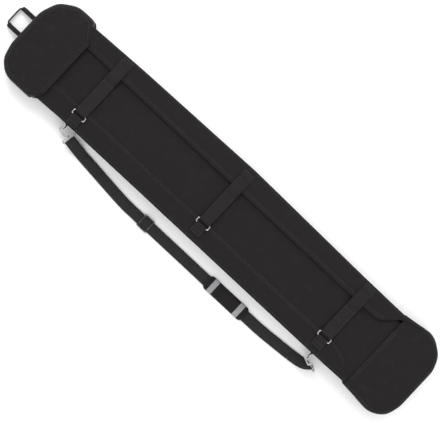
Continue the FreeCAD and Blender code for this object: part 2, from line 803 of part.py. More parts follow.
# ---------------------------------------------------------------- snap hooks
hook_thickness = cell("hook_thickness")
pin_radius = cell("pin_radius")
pin_x = Size(26.0)
pin_side = Size(7.8)
pins = []
swivels = []
for side, eye_roll in (("left", 0), ("right", 90)):
    at = (cell(side + "_hook_x"), cell(side + "_hook_y"), swing_z, cell(side + "_hook_turn"))
    eye_radius = cell("eye_wire") / 2.0
    bar_step = cell("eye_depth") / 2.0 - eye_radius
    eye = wire_ring(side + "_eye", cell("eye_length"), cell("eye_depth"), eye_radius,
                    cell("ring_corner") - 1.0)
    place(eye, bar_step, 0.0, 0.0, 90)
    boss = rod(side + "_eye_boss", 4.6, 6.0, bar_step * 2.0 - 1.0, 0.0, 0.0, (0, 1, 0), 90)
    swivel_hole = rod(side + "_eye_hole", 1.9, 12.0, bar_step * 2.0 - 4.0, 0.0, 0.0, (0, 1, 0), 90)
    swivel = cut("hook_eye_" + side, fused(side + "_eye_joined", [eye, boss]), swivel_hole)
    keep(place(swivel, *at, roll=eye_roll), "hook_eye_" + side)

    body, last = padded(side + "_hook_body", [
        (16.2, -4.0),
        (20.0, -10.0, 3.0),
        (52.0, -10.0, 9.0),
        (52.0, 10.2, 8.0),
        (20.0, 10.2, 3.0),
        (16.2, 4.0),
    ], hook_thickness, middle=True)
    last = pocketed(body, last, [
        (24.0, -5.8, 4.0), (47.4, -5.8, 5.0), (47.4, 5.4, 4.0), (24.0, 5.4, 2.0),
    ], hook_thickness + 2.0, middle=True)
    last = pocketed(body, last, [(29.5, 5.0), (43.6, 5.0), (43.6, 11.0), (29.5, 11.0)],
                    hook_thickness + 2.0, middle=True)
    last = pocketed(body, last, [(22.6, 3.6), (30.0, 3.6), (30.0, 11.0), (22.6, 11.0)],
                    2.6, middle=True)
    place(body, *at)
    drill = rod(side + "_pin_drill", pin_radius, 8.0, pin_x, pin_side, -4.0)
    shank = rod(side + "_shank_drill", 1.7, 6.0, 15.0, 0.0, 0.0, (0, 1, 0), 90)
    drills = place(fused(side + "_drills", [drill, shank]), *at)
    keep(cut("snap_hook_" + side, body, drills), "snap_hook_" + side)

    reach = cell("gate_reach")
    gate, last = padded(side + "_gate_body", [
        (pin_x - 2.0, pin_side - 2.0, 1.9),
        (pin_x + reach, pin_side - 2.0),
        (pin_x + reach, pin_side + 1.7),
        (pin_x - 2.0, pin_side + 2.0, 1.9),
    ], 2.0, middle=True)
    place(gate, *at)
    gate_drill = rod(side + "_gate_drill", pin_radius + 0.1, 8.0, pin_x, pin_side, -4.0)
    keep(cut("hook_gate_" + side, gate, place(grouped(side + "_gate_hole", [gate_drill]), *at)),
         "hook_gate_" + side)
    pin = rod(side + "_gate_pin", pin_radius, hook_thickness + 1.0, pin_x, pin_side,
              -hook_thickness / 2.0 - 0.5)
    pins.append(place(grouped(side + "_pin_set", [pin]), *at))
    rivet = rod(side + "_rivet", 1.65, 9.0, 9.8, 0.0, 0.0, (0, 1, 0), 90)
    swivels.append(place(grouped(side + "_rivet_set", [rivet]), *at))
keep(grouped("gate_pins", pins), "gate_pins")
keep(grouped("swivel_rivets", swivels), "swivel_rivets")

# ---------------------------------------------------------------- slider
slider_x = cell("slider_x")
slider_length = cell("slider_length")
slider_half = cell("slider_width") / 2.0
rail = slider_half - half_width - 1.0
bars = []
for end in (-0.5, 0.5):
    bars.append(block("slider_bar", 4.5, slider_half * 2.0, 2.6, slider_x + slider_length * end - 2.25,
                      line - slider_half, strap_top + clear))
bars.append(block("slider_centre", 6.0, slider_half * 2.0, 1.6, slider_x - 3.0, line - slider_half, 0.6))
for end in (-1.0, 1.0):
    bars.append(block("slider_rail", slider_length + 4.5, rail, strap_top + clear + 2.6 - 0.6,
                      slider_x - slider_length / 2.0 - 2.25,
                      line + (slider_half - rail / 2.0) * end - rail / 2.0, 0.6))
keep(fused("slider", bars), "slider")

# ---------------------------------------------------------------- shoulder pad
pad_start = cell("pad_start")
pad_end = cell("pad_end")
pad_half = cell("pad_width") / 2.0
chamfer = Size(6.0)


def pad_plan(inset):
    return [
        (pad_start, line - pad_half + chamfer),
        (pad_start + chamfer * 1.5, line - pad_half + inset),
        (pad_end - chamfer * 1.5, line - pad_half + inset),
        (pad_end, line - pad_half + chamfer),
        (pad_end, line + pad_half - chamfer),
        (pad_end - chamfer * 1.5, line + pad_half - inset),
        (pad_start + chamfer * 1.5, line + pad_half - inset),
        (pad_start, line + pad_half - chamfer),
    ]


pad_split = cell("shoulder_level") - clear
slab("pad_base", pad_plan(0.0), clear, pad_split - clear)
body, last = padded("pad_cover", pad_plan(0.0), Size(11.0) - pad_split)
slot = half_width + 2.5
pocketed(body, last, [
    (pad_start - 1.0, line - slot), (pad_end + 1.0, line - slot),
    (pad_end + 1.0, line + slot), (pad_start - 1.0, line + slot),
], strap_top + clear - pad_split)
keep(place(body, z=pad_split), "pad_cover")
keepers = []
for start in (pad_start + 20.0, pad_end - 38.0):
    keepers.append(block("keeper", cell("keeper_width"), pad_half * 2.0 - 0.5, 1.2, start,
                         line - pad_half + 0.25, 11.0))
keep(grouped("pad_keepers", keepers), "pad_keepers")

# ---------------------------------------------------------------- grab loop
reach = cell("loop_reach")
loop_half = cell("loop_width") / 2.0
loop_webbing = cell("loop_webbing")
root_x = -(half + 3.0)              # the loop turns about its sewn root
loop_parts = []
for end in (-1.0, 1.0):
    leg = block("loop_leg", reach, loop_webbing, 2.6)
    middle = cell("loop_middle") + (loop_half - loop_webbing / 2.0) * end
    place(leg, root_x - reach * 0.966, middle - loop_webbing / 2.0, cell("loop_root") - reach * 0.259,
          -15.0, (0, 1, 0))
    loop_parts.append(leg)
loop_parts.append(block("loop_grip", 4.0, loop_half * 2.0, 15.0, root_x - reach * 0.966 - 2.5,
                        cell("loop_middle") - loop_half, 1.0))
keep(fused("grab_loop", loop_parts), "grab_loop")
keep(block("loop_anchor", 1.4, loop_half * 2.0, 16.0, -(half + 1.4), cell("loop_middle") - loop_half,
           cell("loop_root") - 14.0), "loop_anchor")

# ---------------------------------------------------------------- check and export
doc.recompute()
for thing in doc.Objects:
    if "Invalid" in thing.State or "Error" in thing.State:
        raise RuntimeError("failed: " + thing.Name)
for part in subparts:
    if part.Shape.isNull() or not part.Shape.isValid() or not part.Shape.Solids:
        raise RuntimeError("no valid solid: " + part.Label)
os.makedirs("parts", exist_ok=True)
for part in subparts:
    part.Shape.exportStep("parts/%s.step" % part.Label)
    print(part.Label, len(part.Shape.Solids), round(part.Shape.Volume))
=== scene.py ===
"""Long soft carrying case: padded panels, hoods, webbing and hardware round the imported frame.

Every piece stands where the frame's parts stand, in metres.  +X runs from the handle end to
the tail, +Y is the side of the long flap, and the case lies on its back on the floor.
"""

import math

import bmesh
import bpy
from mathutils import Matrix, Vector, noise
from mathutils.geometry import convex_hull_2d


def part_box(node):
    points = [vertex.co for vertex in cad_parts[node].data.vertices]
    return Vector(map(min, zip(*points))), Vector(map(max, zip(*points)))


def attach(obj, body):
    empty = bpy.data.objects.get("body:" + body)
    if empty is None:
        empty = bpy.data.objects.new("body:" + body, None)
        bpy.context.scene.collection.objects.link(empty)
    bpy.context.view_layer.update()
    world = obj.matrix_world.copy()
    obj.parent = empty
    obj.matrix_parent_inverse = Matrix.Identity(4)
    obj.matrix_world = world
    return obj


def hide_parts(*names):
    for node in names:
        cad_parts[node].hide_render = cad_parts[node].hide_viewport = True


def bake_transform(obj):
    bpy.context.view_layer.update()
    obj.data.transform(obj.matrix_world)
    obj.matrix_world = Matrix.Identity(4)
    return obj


bl_info = {
    "name": "Soft Drawing Case",
    "version": (1, 0, 0),
    "blender": (4, 5, 0),
    "location": "View3D > Sidebar > Drawing Case",
    "description": "Builds the panels, hoods, webbing and hardware finish of a soft drawing case",
    "category": "Object",
}

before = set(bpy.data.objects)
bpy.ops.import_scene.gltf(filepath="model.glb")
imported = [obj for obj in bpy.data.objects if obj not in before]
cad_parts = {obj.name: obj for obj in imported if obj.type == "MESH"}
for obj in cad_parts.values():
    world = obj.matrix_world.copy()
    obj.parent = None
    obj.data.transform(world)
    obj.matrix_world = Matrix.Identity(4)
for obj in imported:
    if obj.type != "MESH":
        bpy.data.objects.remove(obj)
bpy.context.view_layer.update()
MM = 0.001
STRAPS = (1, 2, 3)
HANDS = ("left", "right")


# ------------------------------------------------------------------ materials
class Wire:
    """A number that runs along a material's nodes and can be reckoned with."""

    def __init__(self, paint, socket):
        self.paint = paint
        self.socket = socket

    def reckon(self, operation, first, second=0.0):
        made = self.paint.node("ShaderNodeMath", {"operation": operation}, {0: first, 1: second})
        return Wire(self.paint, made.outputs[0])

    def __add__(self, other):
        return self.reckon("ADD", self, other)

    def __radd__(self, other):
        return self.reckon("ADD", other, self)

    def __sub__(self, other):
        return self.reckon("SUBTRACT", self, other)

    def __rsub__(self, other):
        return self.reckon("SUBTRACT", other, self)

    def __mul__(self, other):
        return self.reckon("MULTIPLY", self, other)

    def __rmul__(self, other):
        return self.reckon("MULTIPLY", other, self)

    def sine(self):
        return self.reckon("SINE", self)

    def size(self):
        return self.reckon("ABSOLUTE", self)

    def over(self, level):
        return self.reckon("GREATER_THAN", self, level)

    def within(self):
        return self.reckon("MINIMUM", self.reckon("MAXIMUM", self, 0.0), 1.0)


class Paint:
    """A material under construction."""

    def __init__(self, name):
        self.material = bpy.data.materials.new(name)
        self.material.use_nodes = True
        self.tree = self.material.node_tree
        self.tree.nodes.clear()

    def node(self, kind, settings=None, inputs=None):
        made = self.tree.nodes.new(kind)
        for key, value in (settings or {}).items():
            setattr(made, key, value)
        for key, value in (inputs or {}).items():
            if isinstance(value, Wire):
                self.tree.links.new(value.socket, made.inputs[key])
            elif isinstance(value, bpy.types.NodeSocket):
                self.tree.links.new(value, made.inputs[key])
            else:
                made.inputs[key].default_value = value
        return made

    def place(self):
        """Where a point of the piece is, in metres."""
        return self.node("ShaderNodeTexCoord").outputs["Object"]

    def lengthwise(self):
        """A strap's own coordinates: metres along it and metres across it."""
        unwrapped = self.node("ShaderNodeTexCoord").outputs["UV"]
        split = self.node("ShaderNodeSeparateXYZ", None, {0: unwrapped})
        return Wire(self, split.outputs[0]), Wire(self, split.outputs[1])

    def axes(self):
        split = self.node("ShaderNodeSeparateXYZ", None, {0: self.place()})
        return [Wire(self, split.outputs[i]) for i in range(3)]

    def cloud(self, scale, detail=2.0, roughness=0.5, stretch=None):
        """Soft irregular variation between 0 and 1."""
        at = self.place()
        if stretch:
            at = self.node("ShaderNodeMapping", None, {"Vector": at, "Scale": stretch}).outputs[0]
        made = self.node("ShaderNodeTexNoise", None,
                         {"Vector": at, "Scale": scale, "Detail": detail, "Roughness": roughness})
        return Wire(self, made.outputs["Fac"])

    def blend(self, mask, first, second):
        """One colour turning into another as the mask goes from 0 to 1."""
        made = self.node("ShaderNodeMix", {"data_type": "RGBA"}, {0: mask, 6: first, 7: second})
        return made.outputs[2]

    def finish(self, colour, roughness, relief=None, depth=0.0005, **constants):
        surface = {"Base Color": colour, "Roughness": roughness}
        for key, value in constants.items():
            surface[key.replace("_", " ")] = value
        if relief is not None:
            bump = self.node("ShaderNodeBump", None, {"Height": relief, "Distance": depth, "Strength": 1.0})
            surface["Normal"] = bump.outputs[0]
        shader = self.node("ShaderNodeBsdfPrincipled", None, surface)
        self.node("ShaderNodeOutputMaterial", None, {"Surface": shader.outputs[0]})
        return self.material


def tone(colour, gain):
    """A colour made lighter or darker, with its alpha kept."""
    return tuple(c * gain for c in colour[:3]) + (1.0,)


def shell_cloth(name, colour, worn):
    """Coated polyester canvas: fine plain weave, faint dust and rubbed high spots."""
    paint = Paint(name)
    x, y, z = paint.axes()
    pitch = 2 * math.pi / (0.95 * MM)
    weave = ((x + z) * pitch).sine() * ((y + z) * pitch).sine()
    drift = paint.cloud(7.0, 4.0, 0.6)
    rub = paint.cloud(38.0, 5.0, 0.65)
    creases = paint.cloud(16.0, 3.0, 0.55, (1.0, 2.2, 2.2))
    shade = paint.blend((drift * 1.5 - 0.25).within(), tone(colour, 0.78), tone(colour, 1.22))
    shade = paint.blend(((rub - 0.56) * 4.5).within() * worn, shade, tone(colour, 2.4))
    shade = paint.blend((weave * 0.5 + 0.5) * 0.35, shade, tone(colour, 0.55))
    gloss = 0.62 + (drift - 0.5) * 0.18 - (rub - 0.5) * 0.12
    relief = weave * 0.12 + creases * 1.6 + rub * 0.25
    return paint.finish(shade, gloss, relief, 0.0012, Sheen_Weight=0.05, Sheen_Roughness=0.4,
                        Specular_IOR_Level=0.16)


def band_cloth(name, colour, pitch=1.5, edge=18.0):
    """Woven strap: ribs across, a herringbone break along the middle and closer edges."""
    paint = Paint(name)
    along, across = paint.lengthwise()
    turn = 2 * math.pi / (pitch * MM)
    chevron = ((along + across.size() * 0.9) * turn).sine()
    warp = (across * (2 * math.pi / (0.9 * MM))).sine()
    border = ((across.size() * 1000.0 - (edge - 2.2)) * 1.2).within()
    fuzz = paint.cloud(900.0, 2.0, 0.7)
    drift = paint.cloud(24.0, 3.0, 0.6)
    shade = paint.blend((chevron * 0.5 + 0.5) * 0.55 + fuzz * 0.2, tone(colour, 0.68), tone(colour, 1.35))
    shade = paint.blend((drift * 1.4 - 0.2).within() * 0.5, shade, tone(colour, 0.7))
    shade = paint.blend(border * 0.35, shade, tone(colour, 0.55))
    relief = chevron * 0.5 + warp * 0.25 + fuzz * 0.4
    return paint.finish(shade, 0.58 + drift * 0.2, relief, 0.0004, Sheen_Weight=0.08, Sheen_Roughness=0.4,
                        Specular_IOR_Level=0.2)


def edge_tape(name, colour):
    """Grosgrain binding: fine ribs square to the edge it covers."""
    paint = Paint(name)
    x, y = paint.axes()[:2]
    ribs = ((x + y * 0.7) * (2 * math.pi / (1.1 * MM))).sine()
    drift = paint.cloud(30.0, 3.0)
    shade = paint.blend(ribs * 0.3 + 0.4 + drift * 0.2, tone(colour, 0.6), tone(colour, 1.5))
    return paint.finish(shade, 0.5 + drift * 0.25, ribs + drift, 0.0003, Sheen_Weight=0.06,
                        Specular_IOR_Level=0.2)


def lining_cloth(name, colour):
    """Thin slippery lining with a square ripstop grid."""
    paint = Paint(name)
    x, y, z = paint.axes()
    step = 2 * math.pi / (5.0 * MM)
    grid = (((x + z) * step).sine().over(0.965) + ((y + z) * step).sine().over(0.965)).within()
    drift = paint.cloud(20.0, 4.0)
    shade = paint.blend(grid, tone(colour, 0.9), tone(colour, 1.7))
    shade = paint.blend(drift * 0.5, shade, tone(colour, 0.6))
    return paint.finish(shade, 0.38 + drift * 0.2, grid + drift * 2.0, 0.0005, Sheen_Weight=0.1)


def hook_loop(name, colour):
    """Hook-and-loop tape: short tangled pile."""
    paint = Paint(name)
    pile = paint.cloud(1500.0, 3.0, 0.8)
    tuft = paint.cloud(420.0, 2.0, 0.6)
    shade = paint.blend(pile * 0.7 + tuft * 0.3, tone(colour, 0.4), tone(colour, 2.0))
    return paint.finish(shade, 0.9, pile + tuft, 0.0006, Sheen_Weight=0.08, Specular_IOR_Level=0.15)


def padding_foam(name, colour):
    """Open-cell foam."""
    paint = Paint(name)
    cells = paint.node("ShaderNodeTexVoronoi", None, {"Vector": paint.place(), "Scale": 700.0})
    pores = Wire(paint, cells.outputs["Distance"])
    # The pits of the cells are painted darker: painted shade in the pores.
    shade = paint.blend(pores.within(), tone(colour, 0.5), tone(colour, 1.3))
    return paint.finish(shade, 0.95, pores, 0.0006)


def bright_plate(name, colour):
    """Nickel plate: bright, with fine scratches, dull recesses and a little tarnish."""
    paint = Paint(name)
    haze = paint.cloud(160.0, 4.0, 0.6)
    scratch = paint.cloud(900.0, 2.0, 0.5, (1.0, 7.0, 3.0))
    shade = paint.blend((haze * 1.6 - 0.5).within(), colour, tone(colour, 0.62))
    gloss = 0.2 + haze * 0.16 + ((scratch - 0.58) * 3.0).within() * 0.18
    return paint.finish(shade, gloss, scratch * 0.3 + haze * 0.4, 0.00008, Metallic=1.0)


def worn_enamel(name, colour, bare):
    """Black enamel rubbed through to the metal in small patches."""
    paint = Paint(name)
    wear = ((paint.cloud(130.0, 5.0, 0.7) - 0.57) * 14.0).within()
    speck = paint.cloud(700.0, 2.0, 0.6)
    shade = paint.blend(wear, colour, bare)
    return paint.finish(shade, 0.42 - wear * 0.12 + speck * 0.1, speck * 0.2 - wear * 0.3, 0.00012,
                        Metallic=wear)


def sewing_thread(name, colour):
    """Twisted bonded thread."""
    paint = Paint(name)
    x, y, z = paint.axes()
    ply = ((x + y + z) * (2 * math.pi / (0.5 * MM))).sine()
    shade = paint.blend(ply * 0.5 + 0.5, tone(colour, 0.7), tone(colour, 1.4))
    return paint.finish(shade, 0.45, ply, 0.0001, Sheen_Weight=0.2)


# ------------------------------------------------------------------ mesh helpers
def piece_of(name, points, faces, paint, across=None):
    """A new piece at the origin; across gives each point's place along and across a strap."""
    mesh = bpy.data.meshes.new(name)
    mesh.from_pydata([tuple(p) for p in points], [], faces)
    mesh.update()
    if across:
        layer = mesh.uv_layers.new(name="Strap")
        for loop in mesh.loops:
            layer.data[loop.index].uv = across[loop.vertex_index]
    for polygon in mesh.polygons:
        polygon.use_smooth = True
    mesh.materials.append(paint)
    piece = bpy.data.objects.new(name, mesh)
    bpy.context.scene.collection.objects.link(piece)
    return piece


def tidy_mesh(piece, merge=1e-6):
    """Join doubled points and turn every face outwards."""
    work = bmesh.new()
    work.from_mesh(piece.data)
    bmesh.ops.remove_doubles(work, verts=work.verts, dist=merge)
    bmesh.ops.dissolve_degenerate(work, edges=work.edges, dist=merge)
    bmesh.ops.recalc_face_normals(work, faces=work.faces)
    work.to_mesh(piece.data)
    work.free()
    return piece


def made_plain(piece):
    """The piece with its modifiers taken into its mesh."""
    graph = bpy.context.evaluated_depsgraph_get()
    mesh = bpy.data.meshes.new_from_object(piece.evaluated_get(graph), depsgraph=graph)
    piece.modifiers.clear()
    old = piece.data
    piece.data = mesh
    bpy.data.meshes.remove(old)
    return piece


def grid_faces(rows, columns, ring=False):
    faces = []
    for i in range(rows - 1):
        for j in range(columns if ring else columns - 1):
            k = (j + 1) % columns
            faces.append((i * columns + j, i * columns + k, (i + 1) * columns + k, (i + 1) * columns + j))
    return faces


def flowing(points, per=6):
    """A smooth line through the given points."""
    knots = [Vector(p) for p in points]
    ends = [knots[0] * 2 - knots[1]] + knots + [knots[-1] * 2 - knots[-2]]
    line = []
    for i in range(1, len(ends) - 2):
        a, b, c, d = ends[i - 1:i + 3]
        for step in range(per):
            t = step / per
            line.append(0.5 * ((2 * b) + (c - a) * t + (2 * a - 5 * b + 4 * c - d) * t * t
                               + (3 * b - a - 3 * c + d) * t ** 3))
    line.append(knots[-1])
    return line


def strap_profile(width, thickness, steps=10):
    """Section of webbing: flat faces with softly rounded selvedges."""
    half = width / 2
    deep = thickness / 2
    lip = min(deep, half * 0.4)
    upper = []
    for i in range(steps + 1):
        a = -half + width * i / steps
        inset = max(0.0, abs(a) - (half - lip)) / lip
        upper.append((a, deep * math.sqrt(max(0.0, 1 - inset * inset * 0.92))))
    return upper + [(a, -b) for a, b in reversed(upper)]


def swept(name, line, sides, profile, paint, waver=0.0):
    """A section carried along a line; sides gives the crosswise direction at each point."""
    points = []
    across = []
    gone = 0.0
    for i, centre in enumerate(line):
        ahead = line[min(i + 1, len(line) - 1)] - line[max(i - 1, 0)]
        ahead.normalize()
        side = sides[i] if isinstance(sides, list) else sides
        side = (side - ahead * side.dot(ahead)).normalized()
        up = ahead.cross(side)
        if i:
            gone += (centre - line[i - 1]).length
        for a, b in profile:
            lift = waver * noise.noise(Vector((gone * 14.0, a * 30.0, 3.1)))
            points.append(centre + side * a + up * (b + lift))
            across.append((gone, a))
    count = len(profile)
    faces = grid_faces(len(line), count, ring=True)
    faces.append(tuple(range(count)))
    faces.append(tuple(reversed(range(len(points) - count, len(points)))))
    return tidy_mesh(piece_of(name, points, faces, paint, across), 1e-7)


def doubled_strap(name, line, sides, width, thickness, paint, waver=0.0):
    return swept(name, line, sides, strap_profile(width, thickness), paint, waver)


def outline_of(node):
    """Plan of a frame node as its convex outline, anticlockwise."""
    flat = [Vector((v.co.x, v.co.y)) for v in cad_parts[node].data.vertices]
    return [flat[i] for i in convex_hull_2d(flat)]


def even_steps(line, count):
    """The same line drawn again with count equal steps."""
    lengths = [0.0]
    for a, b in zip(line, line[1:]):
        lengths.append(lengths[-1] + (b - a).length)
    made = []
    k = 0
    for i in range(count + 1):
        want = lengths[-1] * i / count
        while k < len(line) - 2 and lengths[k + 1] < want:
            k += 1
        span = max(lengths[k + 1] - lengths[k], 1e-12)
        made.append(line[k].lerp(line[k + 1], min(1.0, (want - lengths[k]) / span)))
    return made


def softly(line, rounds=2):
    """The line with its corners eased; its ends stay."""
    for _ in range(rounds):
        line = [line[0]] + [
            line[i - 1] * 0.25 + line[i] * 0.5 + line[i + 1] * 0.25 for i in range(1, len(line) - 1)
        ] + [line[-1]]
    return line


def rumple(x, y, size=0.09, seed=0.0):
    """Slow unevenness of cloth over padding, from -1 to 1."""
    a = noise.noise(Vector((x / size, y / size, seed)))
    b = noise.noise(Vector((x / size * 2.3, y / size * 2.3, seed + 5.0)))
    return a * 0.75 + b * 0.35


# ------------------------------------------------------------------ the case's plan
SLEEVE_FAR = ((-0.690, 0.133), (-0.460, 0.141), (0.0, 0.149), (0.460, 0.139), (0.690, 0.133))
SLEEVE_NEAR = ((-0.690, -0.149), (-0.560, -0.1445), (0.560, -0.1445), (0.690, -0.142))
FLAP_INNER = ((-0.690, 0.0745), (0.545, 0.0715), (0.585, 0.0725), (0.605, 0.083), (0.632, 0.113),
              (0.652, 0.129), (0.685, 0.139), (0.730, 0.146))
FLAP_OUTER = ((-0.690, 0.133), (-0.460, 0.141), (0.0, 0.149), (0.460, 0.139), (0.640, 0.1375),
              (0.690, 0.1455), (0.730, 0.1485))
BAND_INNER = ((-0.690, -0.074), (0.552, -0.074), (0.585, -0.083), (0.610, -0.098), (0.646, -0.132))
NOSE_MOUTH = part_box("nose_hood")[1][0]
NOSE_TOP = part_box("nose_hood")[1][2]
TAIL_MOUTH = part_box("tail_hood")[0][0]
TAIL_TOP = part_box("tail_hood")[1][2]
NOSE_LENGTH = 0.183
TAIL_LENGTH = 0.176
SAG_STARTS = 0.35
COVER_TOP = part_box("near_cover")[1][2]
FLAP_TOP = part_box("long_flap")[1][2]


def middle_of(node, axis=0):
    """Middle of a frame node's box along one axis."""
    low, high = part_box(node)
    return (low[axis] + high[axis]) / 2


STRAP_MIDDLES = [middle_of("cross_strap_%d" % n) for n in STRAPS]


def edge_at(line, x):
    """Y of a plan line at a place along the case."""
    if x <= line[0][0]:
        return line[0][1]
    for a, b in zip(line, line[1:]):
        if x <= b[0]:
            t = (x - a[0]) / (b[0] - a[0])
            return a[1] + (b[1] - a[1]) * t
    return line[-1][1]


def ease(t):
    """0 to 1 with a soft start and end."""
    t = min(1.0, max(0.0, t))
    return t * t * (3 - 2 * t)


def slack(x):
    """0 under a cross strap, 1 well away from all three."""
    return 1 - max(math.exp(-(((x - m) / 0.055) ** 2)) for m in STRAP_MIDDLES)


def cover_top(x, y):
    """Height of the front cover's face: it puffs up between the cross straps."""
    puff = 3.0 * slack(x) * math.sin(math.pi * min(1.0, max(0.0, (y + 0.15) / 0.24)))
    return COVER_TOP + MM * (puff + rumple(x, y, 0.10, 1.0) * (0.4 + 1.3 * slack(x)))


def flap_top(x, y):
    """Height of the long flap's face."""
    low = edge_at(FLAP_INNER, x)
    high = edge_at(FLAP_OUTER, x)
    across = (y - low) / max(high - low, 1e-5)
    puff = 2.0 * slack(x) * math.sin(math.pi * min(1.0, max(0.0, across))) * ease((0.66 - x) / 0.1)
    wave = rumple(x, y, 0.12, 7.0) * (0.2 + 1.3 * slack(x))
    return FLAP_TOP + MM * (puff + wave * ease((0.70 - x) / 0.08))


def nose_top(x, y):
    """Rise of the nose hood's roof above its frame node: uneven padding, sagging to the tip."""
    back = (NOSE_MOUTH - x) / NOSE_LENGTH
    sag = 9.0 * max(0.0, back - SAG_STARTS) ** 2 + 2.5 * abs(y) / 0.15
    return MM * (rumple(x, y, 0.07, 11.0) * 1.9 - sag + 1.2)


def tail_top(x, y):
    """Rise of the tail hood's roof: as on the nose, but flat at its hem and under the flap."""
    back = (x - TAIL_MOUTH) / TAIL_LENGTH
    sag = 8.0 * max(0.0, back - SAG_STARTS) ** 2
    calm = ease((back - 0.02) / 0.2)
    under_flap = ease((y - edge_at(FLAP_INNER, x) + 0.03) / 0.03) if x < 0.735 else 0.0
    return MM * ((rumple(x, y, 0.07, 17.0) * 1.8 + 0.9) * calm * (1 - under_flap) - sag)


def spaced(start, end, step, lip):
    """Places from start to end, closer together near both ends."""
    close = [0.0, 0.05, 0.18, 0.4, 0.7, 1.0]
    span = end - start
    lip = min(lip, span * 0.3)
    inner = max(1, int(round((span - 2 * lip) / step)))
    first = [start + lip * c for c in close]
    middle = [start + lip + (span - 2 * lip) * i / inner for i in range(1, inner)]
    return first + middle + [end - lip * c for c in reversed(close)]


def as_is(a, b, h):
    return Vector((a, b, h))


def slab(name, ends, low, high, under, over, paint, put=as_is, step=0.012, lip=0.004):
    """A padded or folded layer with rounded edges: plan a by b, its two faces at under and over."""
    rows = spaced(ends[0], ends[1], step, lip)
    wide = max(high(a) - low(a) for a in rows)
    columns = spaced(0.0, 1.0, step / wide, lip / wide)
    upper = []
    lower = []
    for a in rows:
        b0 = low(a)
        b1 = high(a)
        for t in columns:
            b = b0 + (b1 - b0) * t
            near = min(a - ends[0], ends[1] - a, b - b0, b1 - b) / lip
            full = math.sqrt(max(0.0, 1 - (1 - min(1.0, max(0.0, near))) ** 2))
            top = over(a, b)
            base = under(a, b)
            middle = (top + base) / 2
            upper.append(put(a, b, middle + (top - middle) * full))
            lower.append(put(a, b, middle + (base - middle) * full))
    faces = grid_faces(len(rows), len(columns))
    count = len(upper)
    faces += [tuple(count + i for i in reversed(f)) for f in faces]
    return tidy_mesh(piece_of(name, upper + lower, faces, paint), 2e-6)


def level(value):
    """A face at one height."""
    return lambda a, b: value


def level_edge(value):
    """A straight edge."""
    return lambda a: value


def open_outline(node, mouth, steps=150):
    """A hood's plan line from one corner of its mouth round to the other."""
    line = outline_of(node)
    toward = 1 if sum(p.x for p in line) / len(line) < mouth else -1
    count = len(line)

    def reach(i):
        a = line[i]
        b = line[(i + 1) % count]
        return (a + b).x * toward / 2 + (b - a).length * 0.001

    start = (max(range(count), key=reach) + 1) % count
    line = line[start:] + line[:start]
    return softly(even_steps(line, steps), 3)


def hood_rows(line, inset, base, top, shoulder, mouth, bulge, crown, inner_rows=26, walls=8):
    """Rows of points: up the wall, over the shoulder and across the roof to the mouth."""
    centre = sum(line, Vector((0.0, 0.0))) / len(line)
    inward = []
    for i in range(len(line)):
        ahead = line[min(i + 1, len(line) - 1)] - line[max(i - 1, 0)]
        normal = Vector((-ahead.y, ahead.x)).normalized()
        if normal.dot(centre - line[i]) < 0:
            normal = -normal
        inward.append(normal)
    past = 1 if centre.x < mouth else -1
    levels = []
    for k in range(walls):
        t = k / walls
        levels.append((inset - bulge * math.sin(math.pi * t), base + (top - shoulder - base) * t))
    for k in range(8):
        angle = math.pi / 2 * k / 7
        levels.append((inset + shoulder * (1 - math.cos(angle)), top - shoulder + shoulder * math.sin(angle)))
    rows = []
    for d, z in levels:
        rise = ease((z - base) / max(top - base, 1e-6))
        row = []
        for p, normal in zip(line, inward):
            q = p + normal * d
            q.x = min(q.x, mouth) if past > 0 else max(q.x, mouth)
            row.append(Vector((q.x, q.y, z + crown(q.x, q.y) * rise)))
        rows.append(row)
    last = rows[-1]
    count = len(last) - 1
    for k in range(1, inner_rows + 1):
        s = k / inner_rows
        row = []
        for i, p in enumerate(last):
            t = i / count
            end = last[0].lerp(last[-1], t)
            q = p.lerp(Vector((mouth, end.y, top)), s)
            row.append(Vector((q.x, q.y, top + crown(q.x, q.y))))
        rows.append(row)
    return rows


def shell(name, outer, inner, paint):
    """A closed skin from two matching sets of rows."""
    rows = len(outer)
    columns = len(outer[0])
    points = [p for row in outer for p in row] + [p for row in inner for p in row]
    half = rows * columns
    faces = grid_faces(rows, columns)
    faces += [tuple(half + i for i in reversed(f)) for f in faces]
    rim = list(range(columns))
    rim += [i * columns + columns - 1 for i in range(1, rows)]
    rim += [(rows - 1) * columns + i for i in range(columns - 2, -1, -1)]
    rim += [i * columns for i in range(rows - 2, 0, -1)]
    for a, b in zip(rim, rim[1:] + rim[:1]):
        faces.append((a, b, half + b, half + a))
    return tidy_mesh(piece_of(name, points, faces, paint), 2e-6)


